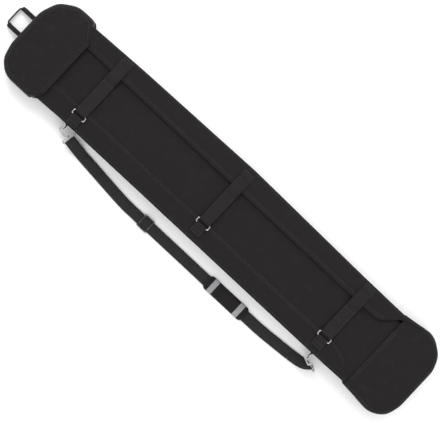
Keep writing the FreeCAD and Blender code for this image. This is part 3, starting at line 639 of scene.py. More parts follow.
# ------------------------------------------------------------------ stitching
def stitch_tree(paint):
    """Stitches laid end to end along lines."""
    tree = bpy.data.node_groups.new("Stitch Rows", "GeometryNodeTree")
    face = tree.interface
    face.new_socket("Geometry", in_out="INPUT", socket_type="NodeSocketGeometry")
    for label, value in (("Pitch", 0.0038), ("Stitch Length", 0.0029), ("Thread Radius", 0.00042)):
        made = face.new_socket(label, in_out="INPUT", socket_type="NodeSocketFloat")
        made.default_value = value
    face.new_socket("Geometry", in_out="OUTPUT", socket_type="NodeSocketGeometry")
    nodes = tree.nodes
    link = tree.links.new
    source = nodes.new("NodeGroupInput")
    sink = nodes.new("NodeGroupOutput")
    curve = nodes.new("GeometryNodeMeshToCurve")
    even = nodes.new("GeometryNodeResampleCurve")
    even.mode = "LENGTH"
    tangent = nodes.new("GeometryNodeInputTangent")
    turn = nodes.new("FunctionNodeAlignEulerToVector")
    turn.axis = "Z"
    thread = nodes.new("GeometryNodeMeshCylinder")
    thread.fill_type = "TRIANGLE_FAN"
    thread.inputs["Vertices"].default_value = 6
    thread.inputs["Side Segments"].default_value = 1
    place = nodes.new("GeometryNodeInstanceOnPoints")
    real = nodes.new("GeometryNodeRealizeInstances")
    coat = nodes.new("GeometryNodeSetMaterial")
    coat.inputs["Material"].default_value = paint
    link(source.outputs["Geometry"], curve.inputs["Mesh"])
    link(curve.outputs["Curve"], even.inputs["Curve"])
    link(source.outputs["Pitch"], even.inputs["Length"])
    link(even.outputs["Curve"], place.inputs["Points"])
    link(tangent.outputs["Tangent"], turn.inputs["Vector"])
    link(turn.outputs["Rotation"], place.inputs["Rotation"])
    link(source.outputs["Stitch Length"], thread.inputs["Depth"])
    link(source.outputs["Thread Radius"], thread.inputs["Radius"])
    link(thread.outputs["Mesh"], place.inputs["Instance"])
    link(place.outputs["Instances"], real.inputs["Geometry"])
    link(real.outputs["Geometry"], coat.inputs["Geometry"])
    link(coat.outputs["Geometry"], sink.inputs["Geometry"])
    return tree


SEAMS = {}


def seam(body, line):
    """Mark a line to be stitched later, on the body it belongs to."""
    SEAMS.setdefault(body, []).append([Vector(p) for p in line])


def hem_seams(body, start, surface, rise):
    """Two rows of stitches across a hood's hem."""
    for inset in (2.2, 10.6):
        x = start + inset * MM
        seam(body, [Vector((x, y * 0.01, surface(x, y * 0.01) + rise)) for y in range(-12, 9)])


def along(x0, x1, y, z, step=0.02):
    """A line running along the case, y and z being functions of the place along it."""
    count = max(2, int(abs(x1 - x0) / step))
    line = []
    for i in range(count + 1):
        x = x0 + (x1 - x0) * i / count
        line.append(Vector((x, y(x), z(x, y(x)))))
    return line


# ------------------------------------------------------------------ settings
def colour_value(label, note, value):
    return bpy.props.FloatVectorProperty(name=label, description=note, default=value, size=4,
                                         min=0.0, max=1.0, subtype="COLOR")


def length_value(label, note, value):
    return bpy.props.FloatProperty(name=label, description=note, default=value, min=0.0, unit="LENGTH")


class CaseFinish(bpy.types.PropertyGroup):
    shell: colour_value("Shell cloth", "Outer canvas", (0.0078, 0.0062, 0.0066, 1.0))
    hood: colour_value("Hood cloth", "Canvas of the two hoods", (0.0082, 0.0065, 0.0068, 1.0))
    strap: colour_value("Cross strap", "Webbing of the cross straps and tabs", (0.0125, 0.0105, 0.0110, 1.0))
    carry: colour_value("Shoulder strap", "Webbing of the shoulder strap", (0.022, 0.022, 0.024, 1.0))
    tape: colour_value("Binding", "Tape over the raw edges", (0.0095, 0.0080, 0.0085, 1.0))
    inside: colour_value("Lining", "Cloth inside the case", (0.030, 0.030, 0.034, 1.0))
    thread: colour_value("Thread", "Sewing thread", (0.013, 0.011, 0.012, 1.0))
    foam: colour_value("Foam", "Padding between the cloths", (0.060, 0.060, 0.065, 1.0))
    plate: colour_value("Plated metal", "Rings, hooks and rivets", (0.52, 0.51, 0.50, 1.0))
    enamel: colour_value("Slider enamel", "Coat of the slider", (0.016, 0.016, 0.018, 1.0))
    keeper: colour_value("Pad keepers", "Pale strips across the shoulder pad", (0.36, 0.36, 0.38, 1.0))


class CaseSizes(bpy.types.PropertyGroup):
    skin: length_value("Hood skin", "Thickness of a hood's cloth and padding", 0.003)
    webbing: length_value("Webbing", "Thickness of the cross straps", 0.0012)
    stitch: length_value("Stitch pitch", "From one stitch to the next", 0.0038)
    hem: length_value("Hem rise", "How far a hem stands above its hood", 0.0011)


PAINTS = {}


def finish_of(name):
    """A finish, made the first time that it is asked for."""
    if name in PAINTS:
        return PAINTS[name]
    look = bpy.context.scene.case_finish
    makers = {
        "shell": lambda: shell_cloth("Coated canvas", tuple(look.shell), 0.55),
        "hood": lambda: shell_cloth("Hood canvas", tuple(look.hood), 0.7),
        "strap": lambda: band_cloth("Cross strap webbing", tuple(look.strap), 1.7, 20.0),
        "carry": lambda: band_cloth("Shoulder strap webbing", tuple(look.carry), 1.9, 18.0),
        "tape": lambda: edge_tape("Binding tape", tuple(look.tape)),
        "lining": lambda: lining_cloth("Ripstop lining", tuple(look.inside)),
        "hookloop": lambda: hook_loop("Hook and loop", tuple(look.tape)),
        "foam": lambda: padding_foam("Padding foam", tuple(look.foam)),
        "plate": lambda: bright_plate("Nickel plate", tuple(look.plate)),
        "enamel": lambda: worn_enamel("Worn enamel", tuple(look.enamel), (0.42, 0.41, 0.40, 1.0)),
        # Pad canvas: the shoulder pad's own lighter cloth, which the tail hem also wears as a painted
        # highlight
        "pad": lambda: shell_cloth("Pad canvas and painted hem highlight", tone(tuple(look.shell), 1.25), 0.8),
        "keeper": lambda: edge_tape("Keeper tape", tuple(look.keeper)),
        "thread": lambda: sewing_thread("Bonded thread", tuple(look.thread)),
    }
    PAINTS[name] = makers[name]()
    return PAINTS[name]


def stands_for(piece, body, nodes):
    """Say which body a piece moves with and which frame nodes it takes over."""
    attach(piece, body)
    if nodes:
        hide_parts(*nodes)
    return piece


class CasePiece:
    """What every piece's operator has in common; build makes the piece."""
    bl_options = {"REGISTER", "UNDO"}

    def execute(self, context):
        self.build(context.scene.case_sizes)
        return {"FINISHED"}


class MakeBack(CasePiece, bpy.types.Operator):
    """Back panel, and the finishes of the foam and lining layers"""
    bl_idname = "drawing_case.back"
    bl_label = "Back panel"

    def build(self, sizes):
        low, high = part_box("back_panel")
        ends = (low[0], high[0])
        nose = outline_of("nose_hood")
        tail = outline_of("tail_hood")

        def crossings(x):
            x = min(max(x, ends[0] + 1e-5), ends[1] - 1e-5)
            found = [edge_at(SLEEVE_NEAR, x), edge_at(SLEEVE_FAR, x)] if abs(x) < 0.69 else []
            for ring in (nose, tail):
                for a, b in zip(ring, ring[1:] + ring[:1]):
                    if (a.x - x) * (b.x - x) <= 0 and abs(a.x - b.x) > 1e-9:
                        found.append(a.y + (b.y - a.y) * (x - a.x) / (b.x - a.x))
            return min(found), max(found)

        panel = slab("back_panel_cloth", ends, lambda x: crossings(x)[0], lambda x: crossings(x)[1],
                     level(low[2]), level(high[2]), finish_of("shell"), step=0.014, lip=0.0025)
        stands_for(panel, "case", ["back_panel"])
        for node, paint in (("back_foam", "foam"), ("cover_foam", "foam"), ("flap_foam", "foam"),
                            ("back_lining", "lining"), ("cover_lining", "lining")):
            cover_node(node, finish_of(paint))


def cover_node(node, paint):
    """Give a frame node a finish."""
    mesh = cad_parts[node].data
    if not mesh.materials:
        mesh.materials.append(paint)
    for index in range(len(mesh.materials)):
        mesh.materials[index] = paint
    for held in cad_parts[node].material_slots:
        held.material = paint


class MakeWalls(CasePiece, bpy.types.Operator):
    """Near and far side walls"""
    bl_idname = "drawing_case.walls"
    bl_label = "Side walls"

    def build(self, sizes):
        for node, line, out in (("near_wall", SLEEVE_NEAR, -1), ("far_wall", SLEEVE_FAR, 1)):
            low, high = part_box(node)

            def put(a, b, h, line=line, out=out):
                return Vector((a, edge_at(line, a) + out * h, b))

            def outer(a, b):
                rise = math.sin(math.pi * min(1.0, max(0.0, b / 0.058)))
                return MM * (1.1 * rise + 0.5 * rumple(a, b, 0.06, 21.0) * rise)

            wall = slab(node + "_cloth", (low[0], high[0]), lambda a: low[2], lambda a: high[2],
                        level(-6 * MM), outer, finish_of("shell"), put, step=0.008, lip=0.003)
            stands_for(wall, "case", [node])


class MakeCover(CasePiece, bpy.types.Operator):
    """Front cover and the doubled strip along its near side"""
    bl_idname = "drawing_case.cover"
    bl_label = "Front cover"

    def build(self, sizes):
        low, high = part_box("near_cover")
        cover = slab("near_cover_cloth", (low[0], high[0]), lambda x: edge_at(SLEEVE_NEAR, x),
                     lambda x: high[1], level(low[2]), cover_top, finish_of("shell"), step=0.009, lip=0.004)
        stands_for(cover, "case", ["near_cover"])
        strip = slab("near_band_cloth", (low[0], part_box("near_band")[1][0]),
                     lambda x: edge_at(SLEEVE_NEAR, x), lambda x: edge_at(BAND_INNER, x),
                     lambda x, y: cover_top(x, y) - 0.8 * MM, lambda x, y: cover_top(x, y) + 1.5 * MM,
                     finish_of("shell"), step=0.009, lip=0.002)
        stands_for(strip, "case", ["near_band"])
        on_strip = lambda x, y: cover_top(x, y) + 1.55 * MM
        for inset in (3.0, 9.0):
            seam("case", along(-0.635, 0.60, lambda x: edge_at(BAND_INNER, x) - inset * MM, on_strip))
        seam("case", along(-0.635, 0.64, lambda x: edge_at(SLEEVE_NEAR, x) + 7 * MM, on_strip))


class MakeFlap(CasePiece, bpy.types.Operator):
    """Long flap sewn on the far side, with its bound free edge"""
    bl_idname = "drawing_case.flap"
    bl_label = "Long flap"

    def build(self, sizes):
        low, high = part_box("long_flap")

        def under(x, y):
            return low[2] - 5.9 * MM * ease((0.635 - x) / 0.05)

        flap = slab("long_flap_cloth", (low[0], high[0]), lambda x: edge_at(FLAP_INNER, x),
                    lambda x: edge_at(FLAP_OUTER, x), under, flap_top, finish_of("shell"),
                    step=0.008, lip=0.0035)
        stands_for(flap, "case", ["long_flap"])
        edge = []
        for i in range(120):
            x = -0.69 + (0.722 + 0.69) * i / 119
            y = edge_at(FLAP_INNER, x)
            edge.append(Vector((x, y - 0.3 * MM, (flap_top(x, y + 0.004) + under(x, y)) / 2)))
        edge = [edge[0]] + [(a + b * 2 + c) / 4 for a, b, c in zip(edge, edge[1:], edge[2:])] + [edge[-1]]
        deep = [(8.9 - 5.6 * ease((p.x - 0.585) / 0.05)) * MM for p in edge]
        turns = [2 * math.pi * k / 14 for k in range(14)]
        profile = [(math.cos(angle), math.sin(angle)) for angle in turns]
        points = []
        across = []
        for p, tall in zip(edge, deep):
            for c, s in profile:
                points.append(p + Vector((0.0, 2.6 * MM * c, tall * 0.5 * s)))
                across.append((p.x, s * tall))
        faces = grid_faces(len(edge), 14, ring=True)
        faces.append(tuple(range(14)))
        faces.append(tuple(reversed(range(len(points) - 14, len(points)))))
        bound = tidy_mesh(piece_of("flap_binding_tape", points, faces, finish_of("tape"), across))
        stands_for(bound, "case", ["flap_binding"])
        for inset in (5.5, 11.0):
            seam("case", along(-0.635, 0.60, lambda x: edge_at(FLAP_INNER, x) + inset * MM,
                               lambda x, y: flap_top(x, y) + 0.05 * MM))
        seam("case", along(-0.635, 0.70, lambda x: edge_at(FLAP_OUTER, x) - 6 * MM,
                           lambda x, y: flap_top(x, y) + 0.05 * MM))


class MakeNose(CasePiece, bpy.types.Operator):
    """Nose hood that lifts, its lining and hem, and the half of the nose that stays"""
    bl_idname = "drawing_case.nose"
    bl_label = "Nose hood"

    def build(self, sizes):
        line = open_outline("nose_hood", NOSE_MOUTH)
        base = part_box("nose_hood")[0][2]
        skin = sizes.skin
        outer = hood_rows(line, 0.0, base, NOSE_TOP, 0.018, NOSE_MOUTH, 0.0008, nose_top)
        inner = hood_rows(line, skin, base, NOSE_TOP - skin, 0.015, NOSE_MOUTH, 0.0008, nose_top)
        hood = shell("nose_hood_cloth", outer, inner, finish_of("hood"))
        stands_for(hood, "nose_lid", ["nose_hood"])
        gap = skin + 0.0002
        lined = shell("nose_hood_lining_cloth",
                      hood_rows(line, gap, base, NOSE_TOP - gap, 0.0148, NOSE_MOUTH, 0.0008, nose_top),
                      hood_rows(line, gap + 0.0008, base, NOSE_TOP - gap - 0.0008, 0.014, NOSE_MOUTH, 0.0008,
                                nose_top),
                      finish_of("lining"))
        stands_for(lined, "nose_lid", ["nose_hood_lining"])
        low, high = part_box("nose_hem")
        surface = lambda x, y: NOSE_TOP + nose_top(x, y)
        hem = slab("nose_hem_cloth", (low[0], high[0]), lambda x: low[1], lambda x: high[1],
                   lambda x, y: surface(x, y) - 1.0 * MM, lambda x, y: surface(x, y) + sizes.hem,
                   finish_of("hood"), step=0.004, lip=0.0012)
        stands_for(hem, "nose_lid", ["nose_hem"])
        hem_seams("nose_lid", low[0], surface, sizes.hem)
        seam("nose_lid", [p + Vector((0, 0, 0.2 * MM)) for p in outer[14]])
        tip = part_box("nose_hood")[0][0]
        joint = slab("nose_hinge_tape", (-0.060, 0.040), level_edge(0.0345), level_edge(0.0425),
                     level(-0.2 * MM), level(1.4 * MM), finish_of("tape"),
                     lambda a, b, h: Vector((tip - h, a, b)), step=0.0015, lip=0.0006)
        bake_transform(joint)
        tray_line = open_outline("nose_tray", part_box("nose_tray")[1][0])
        tray_low, tray_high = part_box("nose_tray")
        rows = []
        for depth in (0.0, 0.003):
            side = hood_rows(tray_line, depth, tray_low[2], tray_high[2] + 0.0001, 0.0001,
                             tray_high[0], 0.0012,
                             lambda x, y: 0.0, 1, 10)
            rows.append(side[:12])
        tray = shell("nose_tray_cloth", rows[0], rows[1], finish_of("hood"))
        stands_for(tray, "case", ["nose_tray"])
        bound_edge("nose_binding", tray_line)


def bound_edge(node, line):
    """Tape folded over the seam round a hood."""
    low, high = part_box(node)
    middle = (low[2] + high[2]) / 2
    path = [Vector((p.x, p.y, middle)) for p in line]
    tape = doubled_strap(node + "_tape", path, Vector((0, 0, 1)), high[2] - low[2], 0.0034, finish_of("tape"))
    stands_for(tape, "case", [node])


class MakeTail(CasePiece, bpy.types.Operator):
    """Tail hood with its hem and bound seam"""
    bl_idname = "drawing_case.tail"
    bl_label = "Tail hood"

    def build(self, sizes):
        line = open_outline("tail_hood", TAIL_MOUTH)
        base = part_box("tail_hood")[0][2]
        skin = sizes.skin
        outer = hood_rows(line, 0.0, base, TAIL_TOP, 0.012, TAIL_MOUTH, 0.0012, tail_top, walls=10)
        inner = hood_rows(line, skin, base, TAIL_TOP - skin, 0.009, TAIL_MOUTH, 0.0012, tail_top, walls=10)
        hood = shell("tail_hood_cloth", outer, inner, finish_of("hood"))
        stands_for(hood, "case", ["tail_hood"])
        low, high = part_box("tail_hem")
        surface = lambda x, y: TAIL_TOP + tail_top(x, y)
        # The tail hem wears the lighter pad canvas: a painted highlight along its folded edge.
        hem = slab("tail_hem_cloth", (low[0], high[0]), lambda x: low[1], lambda x: high[1],
                   lambda x, y: surface(x, y) - 1.0 * MM, lambda x, y: surface(x, y) + sizes.hem,
                   finish_of("pad"), step=0.004, lip=0.0012)
        stands_for(hem, "case", ["tail_hem"])
        hem_seams("case", low[0], surface, sizes.hem)
        seam("case", [p + Vector((0, 0, 0.2 * MM)) for p in outer[16]])
        binding_line = [p for p in line if p.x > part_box("tail_binding")[0][0]]
        bound_edge("tail_binding", binding_line)


def arc(centre, radius, start, end, count, plane):
    """Points of an arc; plane turns its two coordinates into a place."""
    made = []
    for i in range(count + 1):
        angle = math.radians(start + (end - start) * i / count)
        made.append(plane(centre[0] + radius * math.cos(angle), centre[1] + radius * math.sin(angle)))
    return made


class MakeStraps(CasePiece, bpy.types.Operator):
    """Cross straps, their tails, hook patches, loop patches and ring tabs"""
    bl_idname = "drawing_case.straps"
    bl_label = "Cross straps"

    def build(self, sizes):
        side = Vector((1, 0, 0))
        thick = sizes.webbing
        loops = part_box("loop_patches")
        patches = []
        for n in STRAPS:
            low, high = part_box("cross_strap_%d" % n)
            middle = (low[0] + high[0]) / 2
            wide = high[0] - low[0]
            bar = low[1] + 3.5 * MM
            rod = 65.5 * MM
            lying = 62.6 * MM
            raised = 69.1 * MM
            folded = 2.9 * MM
            reach = wide / 2 - 3 * MM
            yz = lambda y, z, x=middle: Vector((x, y, z))

            def row(body, y, z, x=middle, reach=reach):
                seam(body, [Vector((x + s * reach, y, z)) for s in (-1, 1)])

            path = [yz(high[1], raised), yz(0.10, raised), yz(0.068, 69.0 * MM), yz(0.062, 68.8 * MM),
                    yz(0.05, 65.8 * MM), yz(0.04, 63.0 * MM), yz(0.034, lying)]
            count = 14
            for i in range(1, count + 1):
                path.append(yz(0.034 + (bar - 0.034) * i / count, lying))
            path = flowing(path, 3)
            path += arc((bar, rod), folded, -90, -270, 12, yz)[1:]
            strap = doubled_strap("cross_strap_%d_webbing" % n, path, side, wide, thick, finish_of("strap"))
            stands_for(strap, "case", ["cross_strap_%d" % n])
            tail_path = [yz(bar, 69.9 * MM), yz(bar + 0.010, 68.9 * MM), yz(bar + 0.022, 67.1 * MM),
                         yz(bar + 0.032, 66.25 * MM), yz(0.0, 66.3 * MM), yz(0.036, 66.3 * MM),
                         yz(0.046, 68.2 * MM), yz(0.058, 72.0 * MM), yz(0.066, 72.75 * MM),
                         yz(0.09, 72.7 * MM), yz(0.108, 72.7 * MM)]
            tail = doubled_strap("strap_tail_%d_webbing" % n, flowing(tail_path, 6), side, wide, thick,
                                 finish_of("strap"))
            body = "tail_peel_%d" % n
            stands_for(tail, body, ["strap_tail_%d" % n])
            patch_low, patch_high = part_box("hook_patch_%d" % n)
            patch = slab("hook_patch_%d_pile" % n, (patch_low[0], patch_high[0]),
                         level_edge(patch_low[1]), level_edge(patch_high[1]),
                         level(patch_low[2]), level(patch_high[2]),
                         finish_of("hookloop"), step=0.006, lip=0.0006)
            stands_for(patch, body, ["hook_patch_%d" % n])
            patches.append((patch_low, patch_high))
            for edge in (-1, 1):
                x = middle + edge * reach
                seam(body, [Vector((x, p.y, p.z + thick / 2 + 0.1 * MM)) for p in flowing(tail_path[3:6], 4)])
                seam("case", [Vector((x, y * 0.001, 69.8 * MM)) for y in (112, 131)])
            for y in (0.1145, 0.1225, 0.130):
                row("case", y, 69.8 * MM)
            for y in (-0.012, 0.033):
                row(body, y, 67.0 * MM)
            tab_low, tab_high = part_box("ring_tab_%d" % n)
            hold = bar - 14.5 * MM
            around = [yz(tab_low[1], 62.7 * MM), yz(hold - 0.012, 62.7 * MM), yz(hold - 0.005, lying)]
            around += arc((hold, rod), folded, -90, 90, 10, yz)
            around += [yz(hold - 0.005, 67.8 * MM), yz(hold - 0.010, 65.5 * MM),
                       yz(hold - 0.016, 64.2 * MM), yz(tab_low[1], 64.0 * MM)]
            tab = doubled_strap("ring_tab_%d_webbing" % n, around, side, tab_high[0] - tab_low[0], thick,
                                finish_of("strap"))
            stands_for(tab, "case", ["ring_tab_%d" % n])
            x0 = tab_low[0] + 3.5 * MM
            x1 = tab_high[0] - 3.5 * MM
            y0 = tab_low[1] + 3 * MM
            y1 = tab_low[1] + 15 * MM
            sides = (((x0, y0), (x1, y0)), ((x0, y1), (x1, y1)), ((x0, y0), (x0, y1)), ((x1, y0), (x1, y1)))
            for ends in sides:
                seam("case", [Vector((x, y, 64.75 * MM)) for x, y in ends])
            cover_node("strap_ring_%d" % n, finish_of("plate"))
        work = bmesh.new()
        for patch_low, patch_high in patches:
            corners = [Vector((x, y, z)) for x in (patch_low[0], patch_high[0])
                       for y in (patch_low[1], loops[1][1]) for z in (loops[0][2], loops[1][2])]
            verts = [work.verts.new(c) for c in corners]
            bmesh.ops.convex_hull(work, input=verts)
        mesh = bpy.data.meshes.new("loop_patches_pile")
        bmesh.ops.subdivide_edges(work, edges=work.edges, cuts=5, use_grid_fill=True)
        work.to_mesh(mesh)
        work.free()
        mesh.materials.append(finish_of("hookloop"))
        pile = bpy.data.objects.new("loop_patches_pile", mesh)
        bpy.context.scene.collection.objects.link(pile)
        stands_for(tidy_mesh(pile), "case", ["loop_patches"])


class MakeCarry(CasePiece, bpy.types.Operator):
    """Shoulder strap, its doubled layer, its sewn ends and the D-ring tabs"""
    bl_idname = "drawing_case.carry"
    bl_label = "Shoulder strap"

    def build(self, sizes):
        up = Vector((0, 0, 1))
        low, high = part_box("shoulder_strap")
        middle = (low[2] + high[2]) / 2
        thick = high[2] - low[2]
        wide = 37 * MM
        route = ((-0.425, -0.1861), (-0.36, -0.1925), (-0.29, -0.1995), (-0.23, -0.2045), (-0.19, -0.205),
                 (-0.10, -0.205), (0.0, -0.205), (0.15, -0.205), (0.28, -0.205), (0.35, -0.2045),
                 (0.41, -0.201), (0.47, -0.1966))
        line = flowing([(x, y, middle) for x, y in route], 8)
        level_sides = [flat_side(line, i) for i in range(len(line))]
        strap = swept("shoulder_strap_webbing", line, level_sides, strap_profile(wide, thick, 14),
                      finish_of("carry"))
        stands_for(strap, "shoulder", ["shoulder_strap"])
        back_low, back_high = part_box("strap_return")
        doubled = flowing([(x, y, (back_low[2] + back_high[2]) / 2) for x, y in route if x < -0.15]
                          + [(-0.141, -0.205, (back_low[2] + back_high[2]) / 2)], 8)
        under = swept("strap_return_webbing", doubled, [flat_side(doubled, i) for i in range(len(doubled))],
                      strap_profile(wide, thick, 14), finish_of("carry"))
        stands_for(under, "shoulder", ["strap_return"])
        reach = wide / 2 - 3 * MM
        above = up * (thick / 2 + 0.05 * MM)
        for edge in (-1, 1):
            marks = []
            for i, p in enumerate(line):
                if p.x < -0.18:
                    marks.append(p + level_sides[i] * edge * reach + above)
            seam("shoulder", marks)
        for x in (-0.418, -0.408, -0.398):
            at = min(range(len(line)), key=lambda i: abs(line[i].x - x))
            seam("shoulder", [line[at] + level_sides[at] * s * reach + above for s in (-1, 1)])
        left = ((-0.425, -0.1861, 4.35, 0), (-0.434, -0.1849, 5.55, 0), (-0.452, -0.1821, 12.35, 0),
                (-0.470, -0.1787, 20.85, 0), (-0.4884, -0.175, 25.0, 0))
        right = ((0.470, -0.1966, 5.3, 0), (0.498, -0.1931, 7.0, -12), (0.521, -0.1894, 12.8, -32),
                 (0.538, -0.1861, 18.8, -60), (0.552, -0.1821, 25.0, -90))
        for hand, stations, eye, upright in (("left", left, (-0.491, -0.1744), False),
                                             ("right", right, (0.5545, -0.1815), True)):
            path = flowing([(x, y, z * MM) for x, y, z, roll in stations], 8)
            sides = []
            for i in range(len(path)):
                k = min(i // 8, len(stations) - 2)
                t = min(1.0, i / 8 - k)
                roll = math.radians(stations[k][3] + (stations[k + 1][3] - stations[k][3]) * t)
                sides.append(flat_side(path, i) * math.cos(roll) + up * math.sin(roll))
            stack = 3.3 * MM if hand == "left" else 3.0 * MM
            body = swept("strap_loop_%s_webbing" % hand, path, sides, strap_profile(wide, stack, 14),
                         finish_of("carry"))
            centre = Vector((eye[0], eye[1], 0.025))
            heading = Vector((path[-1] - path[-2]))
            heading.z = 0
            heading.normalize()
            cross = up.cross(heading)
            ring = []
            for k in range(17):
                angle = math.radians(200 - 400 * k / 16)
                other = cross if upright else up
                ring.append(centre + (heading * math.cos(angle) + other * math.sin(angle)) * 3.0 * MM)
            wrap = swept("strap_fold_%s" % hand, ring, up if upright else cross,
                         strap_profile(wide, 1.5 * MM, 14), finish_of("carry"))
            joined = join_pieces(body, wrap)
            stands_for(joined, "shoulder", ["strap_loop_" + hand])
            place = len(path) - 8
            for step in (0, 3):
                p = path[place + step]
                s = sides[place + step]
                n = (path[place + step + 1] - p).normalized().cross(s)
                for face in (-1, 1):
                    seam("shoulder", [p + s * e * (wide / 2 - 4 * MM) + n * face * (stack / 2 + 0.1 * MM)
                                      for e in (-1, 1)])
            ring_x = middle_of("d_ring_tab_" + hand)
            ring_y = -0.1488
            tab_z = middle_of("d_ring_tab_" + hand, 2)
            path = [Vector((ring_x - 1.0 * MM, -0.1435, tab_z)), Vector((ring_x - 1.6 * MM, -0.1458, tab_z))]
            path += arc((ring_x, ring_y), 2.7 * MM, 125, 415, 14, lambda a, b: Vector((a, b, tab_z)))
            path += [Vector((ring_x + 1.6 * MM, -0.1458, tab_z)), Vector((ring_x + 1.0 * MM, -0.1435, tab_z))]
            tab = swept("d_ring_tab_%s_webbing" % hand, path, up, strap_profile(22 * MM, 1.3 * MM),
                        finish_of("strap"))
            stands_for(tab, "case", ["d_ring_tab_" + hand])


def flat_side(line, i):
    """Level direction square to a line at one of its points."""
    ahead = line[min(i + 1, len(line) - 1)] - line[max(i - 1, 0)]
    return Vector((-ahead.y, ahead.x, 0)).normalized()


def join_pieces(first, *others):
    """One piece from several."""
    work = bmesh.new()
    work.from_mesh(first.data)
    for other in others:
        work.from_mesh(other.data)
    work.to_mesh(first.data)
    work.free()
    for other in others:
        mesh = other.data
        bpy.data.objects.remove(other)
        bpy.data.meshes.remove(mesh)
    return first


class MakeHardware(CasePiece, bpy.types.Operator):
    """Finish of the hooks, rings, rivets and slider"""
    bl_idname = "drawing_case.hardware"
    bl_label = "Hardware"

    def build(self, sizes):
        for stem in ("d_ring_", "hook_eye_", "snap_hook_", "hook_gate_"):
            for hand in HANDS:
                cover_node(stem + hand, finish_of("plate"))
        cover_node("gate_pins", finish_of("plate"))
        cover_node("swivel_rivets", finish_of("plate"))
        cover_node("slider", finish_of("enamel"))


def puffed(piece, pressure, cap, frames=20, voxel=0.004):
    """Fill a closed cloth form: remesh it, let cloth swell under pressure, and cap the movement."""
    even = piece.modifiers.new("Even mesh", "REMESH")
    even.mode = "VOXEL"
    even.voxel_size = voxel
    paints = list(piece.data.materials)
    made_plain(piece)
    piece.data.materials.clear()
    for paint in paints:
        piece.data.materials.append(paint)
    before = [v.co.copy() for v in piece.data.vertices]
    cloth = piece.modifiers.new("Filling", "CLOTH")
    cloth.settings.use_pressure = True
    cloth.settings.uniform_pressure_force = pressure
    cloth.settings.effector_weights.gravity = 0.0
    cloth.settings.quality = 5
    cloth.point_cache.frame_end = frames
    for step in range(1, frames + 1):
        bpy.context.scene.frame_set(step)
    graph = bpy.context.evaluated_depsgraph_get()
    swollen = piece.evaluated_get(graph).to_mesh()
    moved = [v.co.copy() for v in swollen.vertices]
    piece.evaluated_get(graph).to_mesh_clear()
    piece.modifiers.clear()
    bpy.context.scene.frame_set(1)
    for vertex, old, new in zip(piece.data.vertices, before, moved):
        shift = new - old
        if shift.length > cap:
            shift = shift.normalized() * cap
        vertex.co = old + shift
    for polygon in piece.data.polygons:
        polygon.use_smooth = True
    finer = piece.modifiers.new("Smooth", "SUBSURF")
    finer.levels = 1
    finer.render_levels = 1
    return made_plain(piece)


class MakePad(CasePiece, bpy.types.Operator):
    """Shoulder pad with its base, crowned cover and two keepers"""
    bl_idname = "drawing_case.pad"
    bl_label = "Shoulder pad"

    def build(self, sizes):
        low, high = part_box("pad_cover")
        base_low, base_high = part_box("pad_base")
        cut = 9 * MM

        def corner(x, sign):
            inward = max(0.0, cut - (x - low[0]), cut - (high[0] - x))
            return (low[1] + inward) if sign < 0 else (high[1] - inward)

        def crown(x, y):
            across = (y - low[1]) / (high[1] - low[1])
            rise = math.sin(math.pi * min(1.0, max(0.0, across))) ** 0.6
            keeper = max(math.exp(-(((x - k) / 0.011) ** 2)) for k in (0.149, 0.258))
            return high[2] - MM * (2.2 * (1 - rise) + 0.5 * keeper - 0.3 * rumple(x, y, 0.03, 31.0))

        base = slab("pad_base_cloth", (base_low[0], base_high[0]),
                    lambda x: corner(x, -1), lambda x: corner(x, 1),
                    level(base_low[2]), level(base_high[2]), finish_of("pad"), step=0.005, lip=0.002)
        stands_for(base, "pad", ["pad_base"])
        small = 1.2 * MM
        cover = slab("pad_cover_cloth", (low[0] + small, high[0] - small), lambda x: corner(x, -1) + small,
                     lambda x: corner(x, 1) - small, level(low[2] + 0.4 * MM),
                     lambda x, y: crown(x, y) - 0.6 * MM,
                     finish_of("pad"), step=0.004, lip=0.004)
        puffed(cover, 4.0, 0.0011, 20, 0.0022)
        stands_for(cover, "pad", ["pad_cover"])
        pieces = []
        keep_low, keep_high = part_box("pad_keepers")
        for x0, x1 in ((keep_low[0], keep_low[0] + 0.018), (keep_high[0] - 0.018, keep_high[0])):
            pieces.append(slab("keeper", (x0, x1), lambda x: keep_low[1] + 0.5 * MM,
                               lambda x: keep_high[1] - 0.5 * MM,
                               lambda x, y: crown(x, y) - 0.4 * MM, lambda x, y: crown(x, y) + 1.1 * MM,
                               finish_of("keeper"), step=0.003, lip=0.0006))
        keepers = join_pieces(*pieces)
        keepers.name = "pad_keepers_tape"
        stands_for(keepers, "pad", ["pad_keepers"])
        inset = 4.5 * MM
        ring = []
        for x in [low[0] + inset + (high[0] - low[0] - 2 * inset) * i / 40 for i in range(41)]:
            ring.append((x, corner(x, 1) - inset))
        for x in [high[0] - inset - (high[0] - low[0] - 2 * inset) * i / 40 for i in range(41)]:
            ring.append((x, corner(x, -1) + inset))
        ring.append(ring[0])
        seam("pad", [Vector((x, y, crown(x, y) + 0.35 * MM)) for x, y in ring])


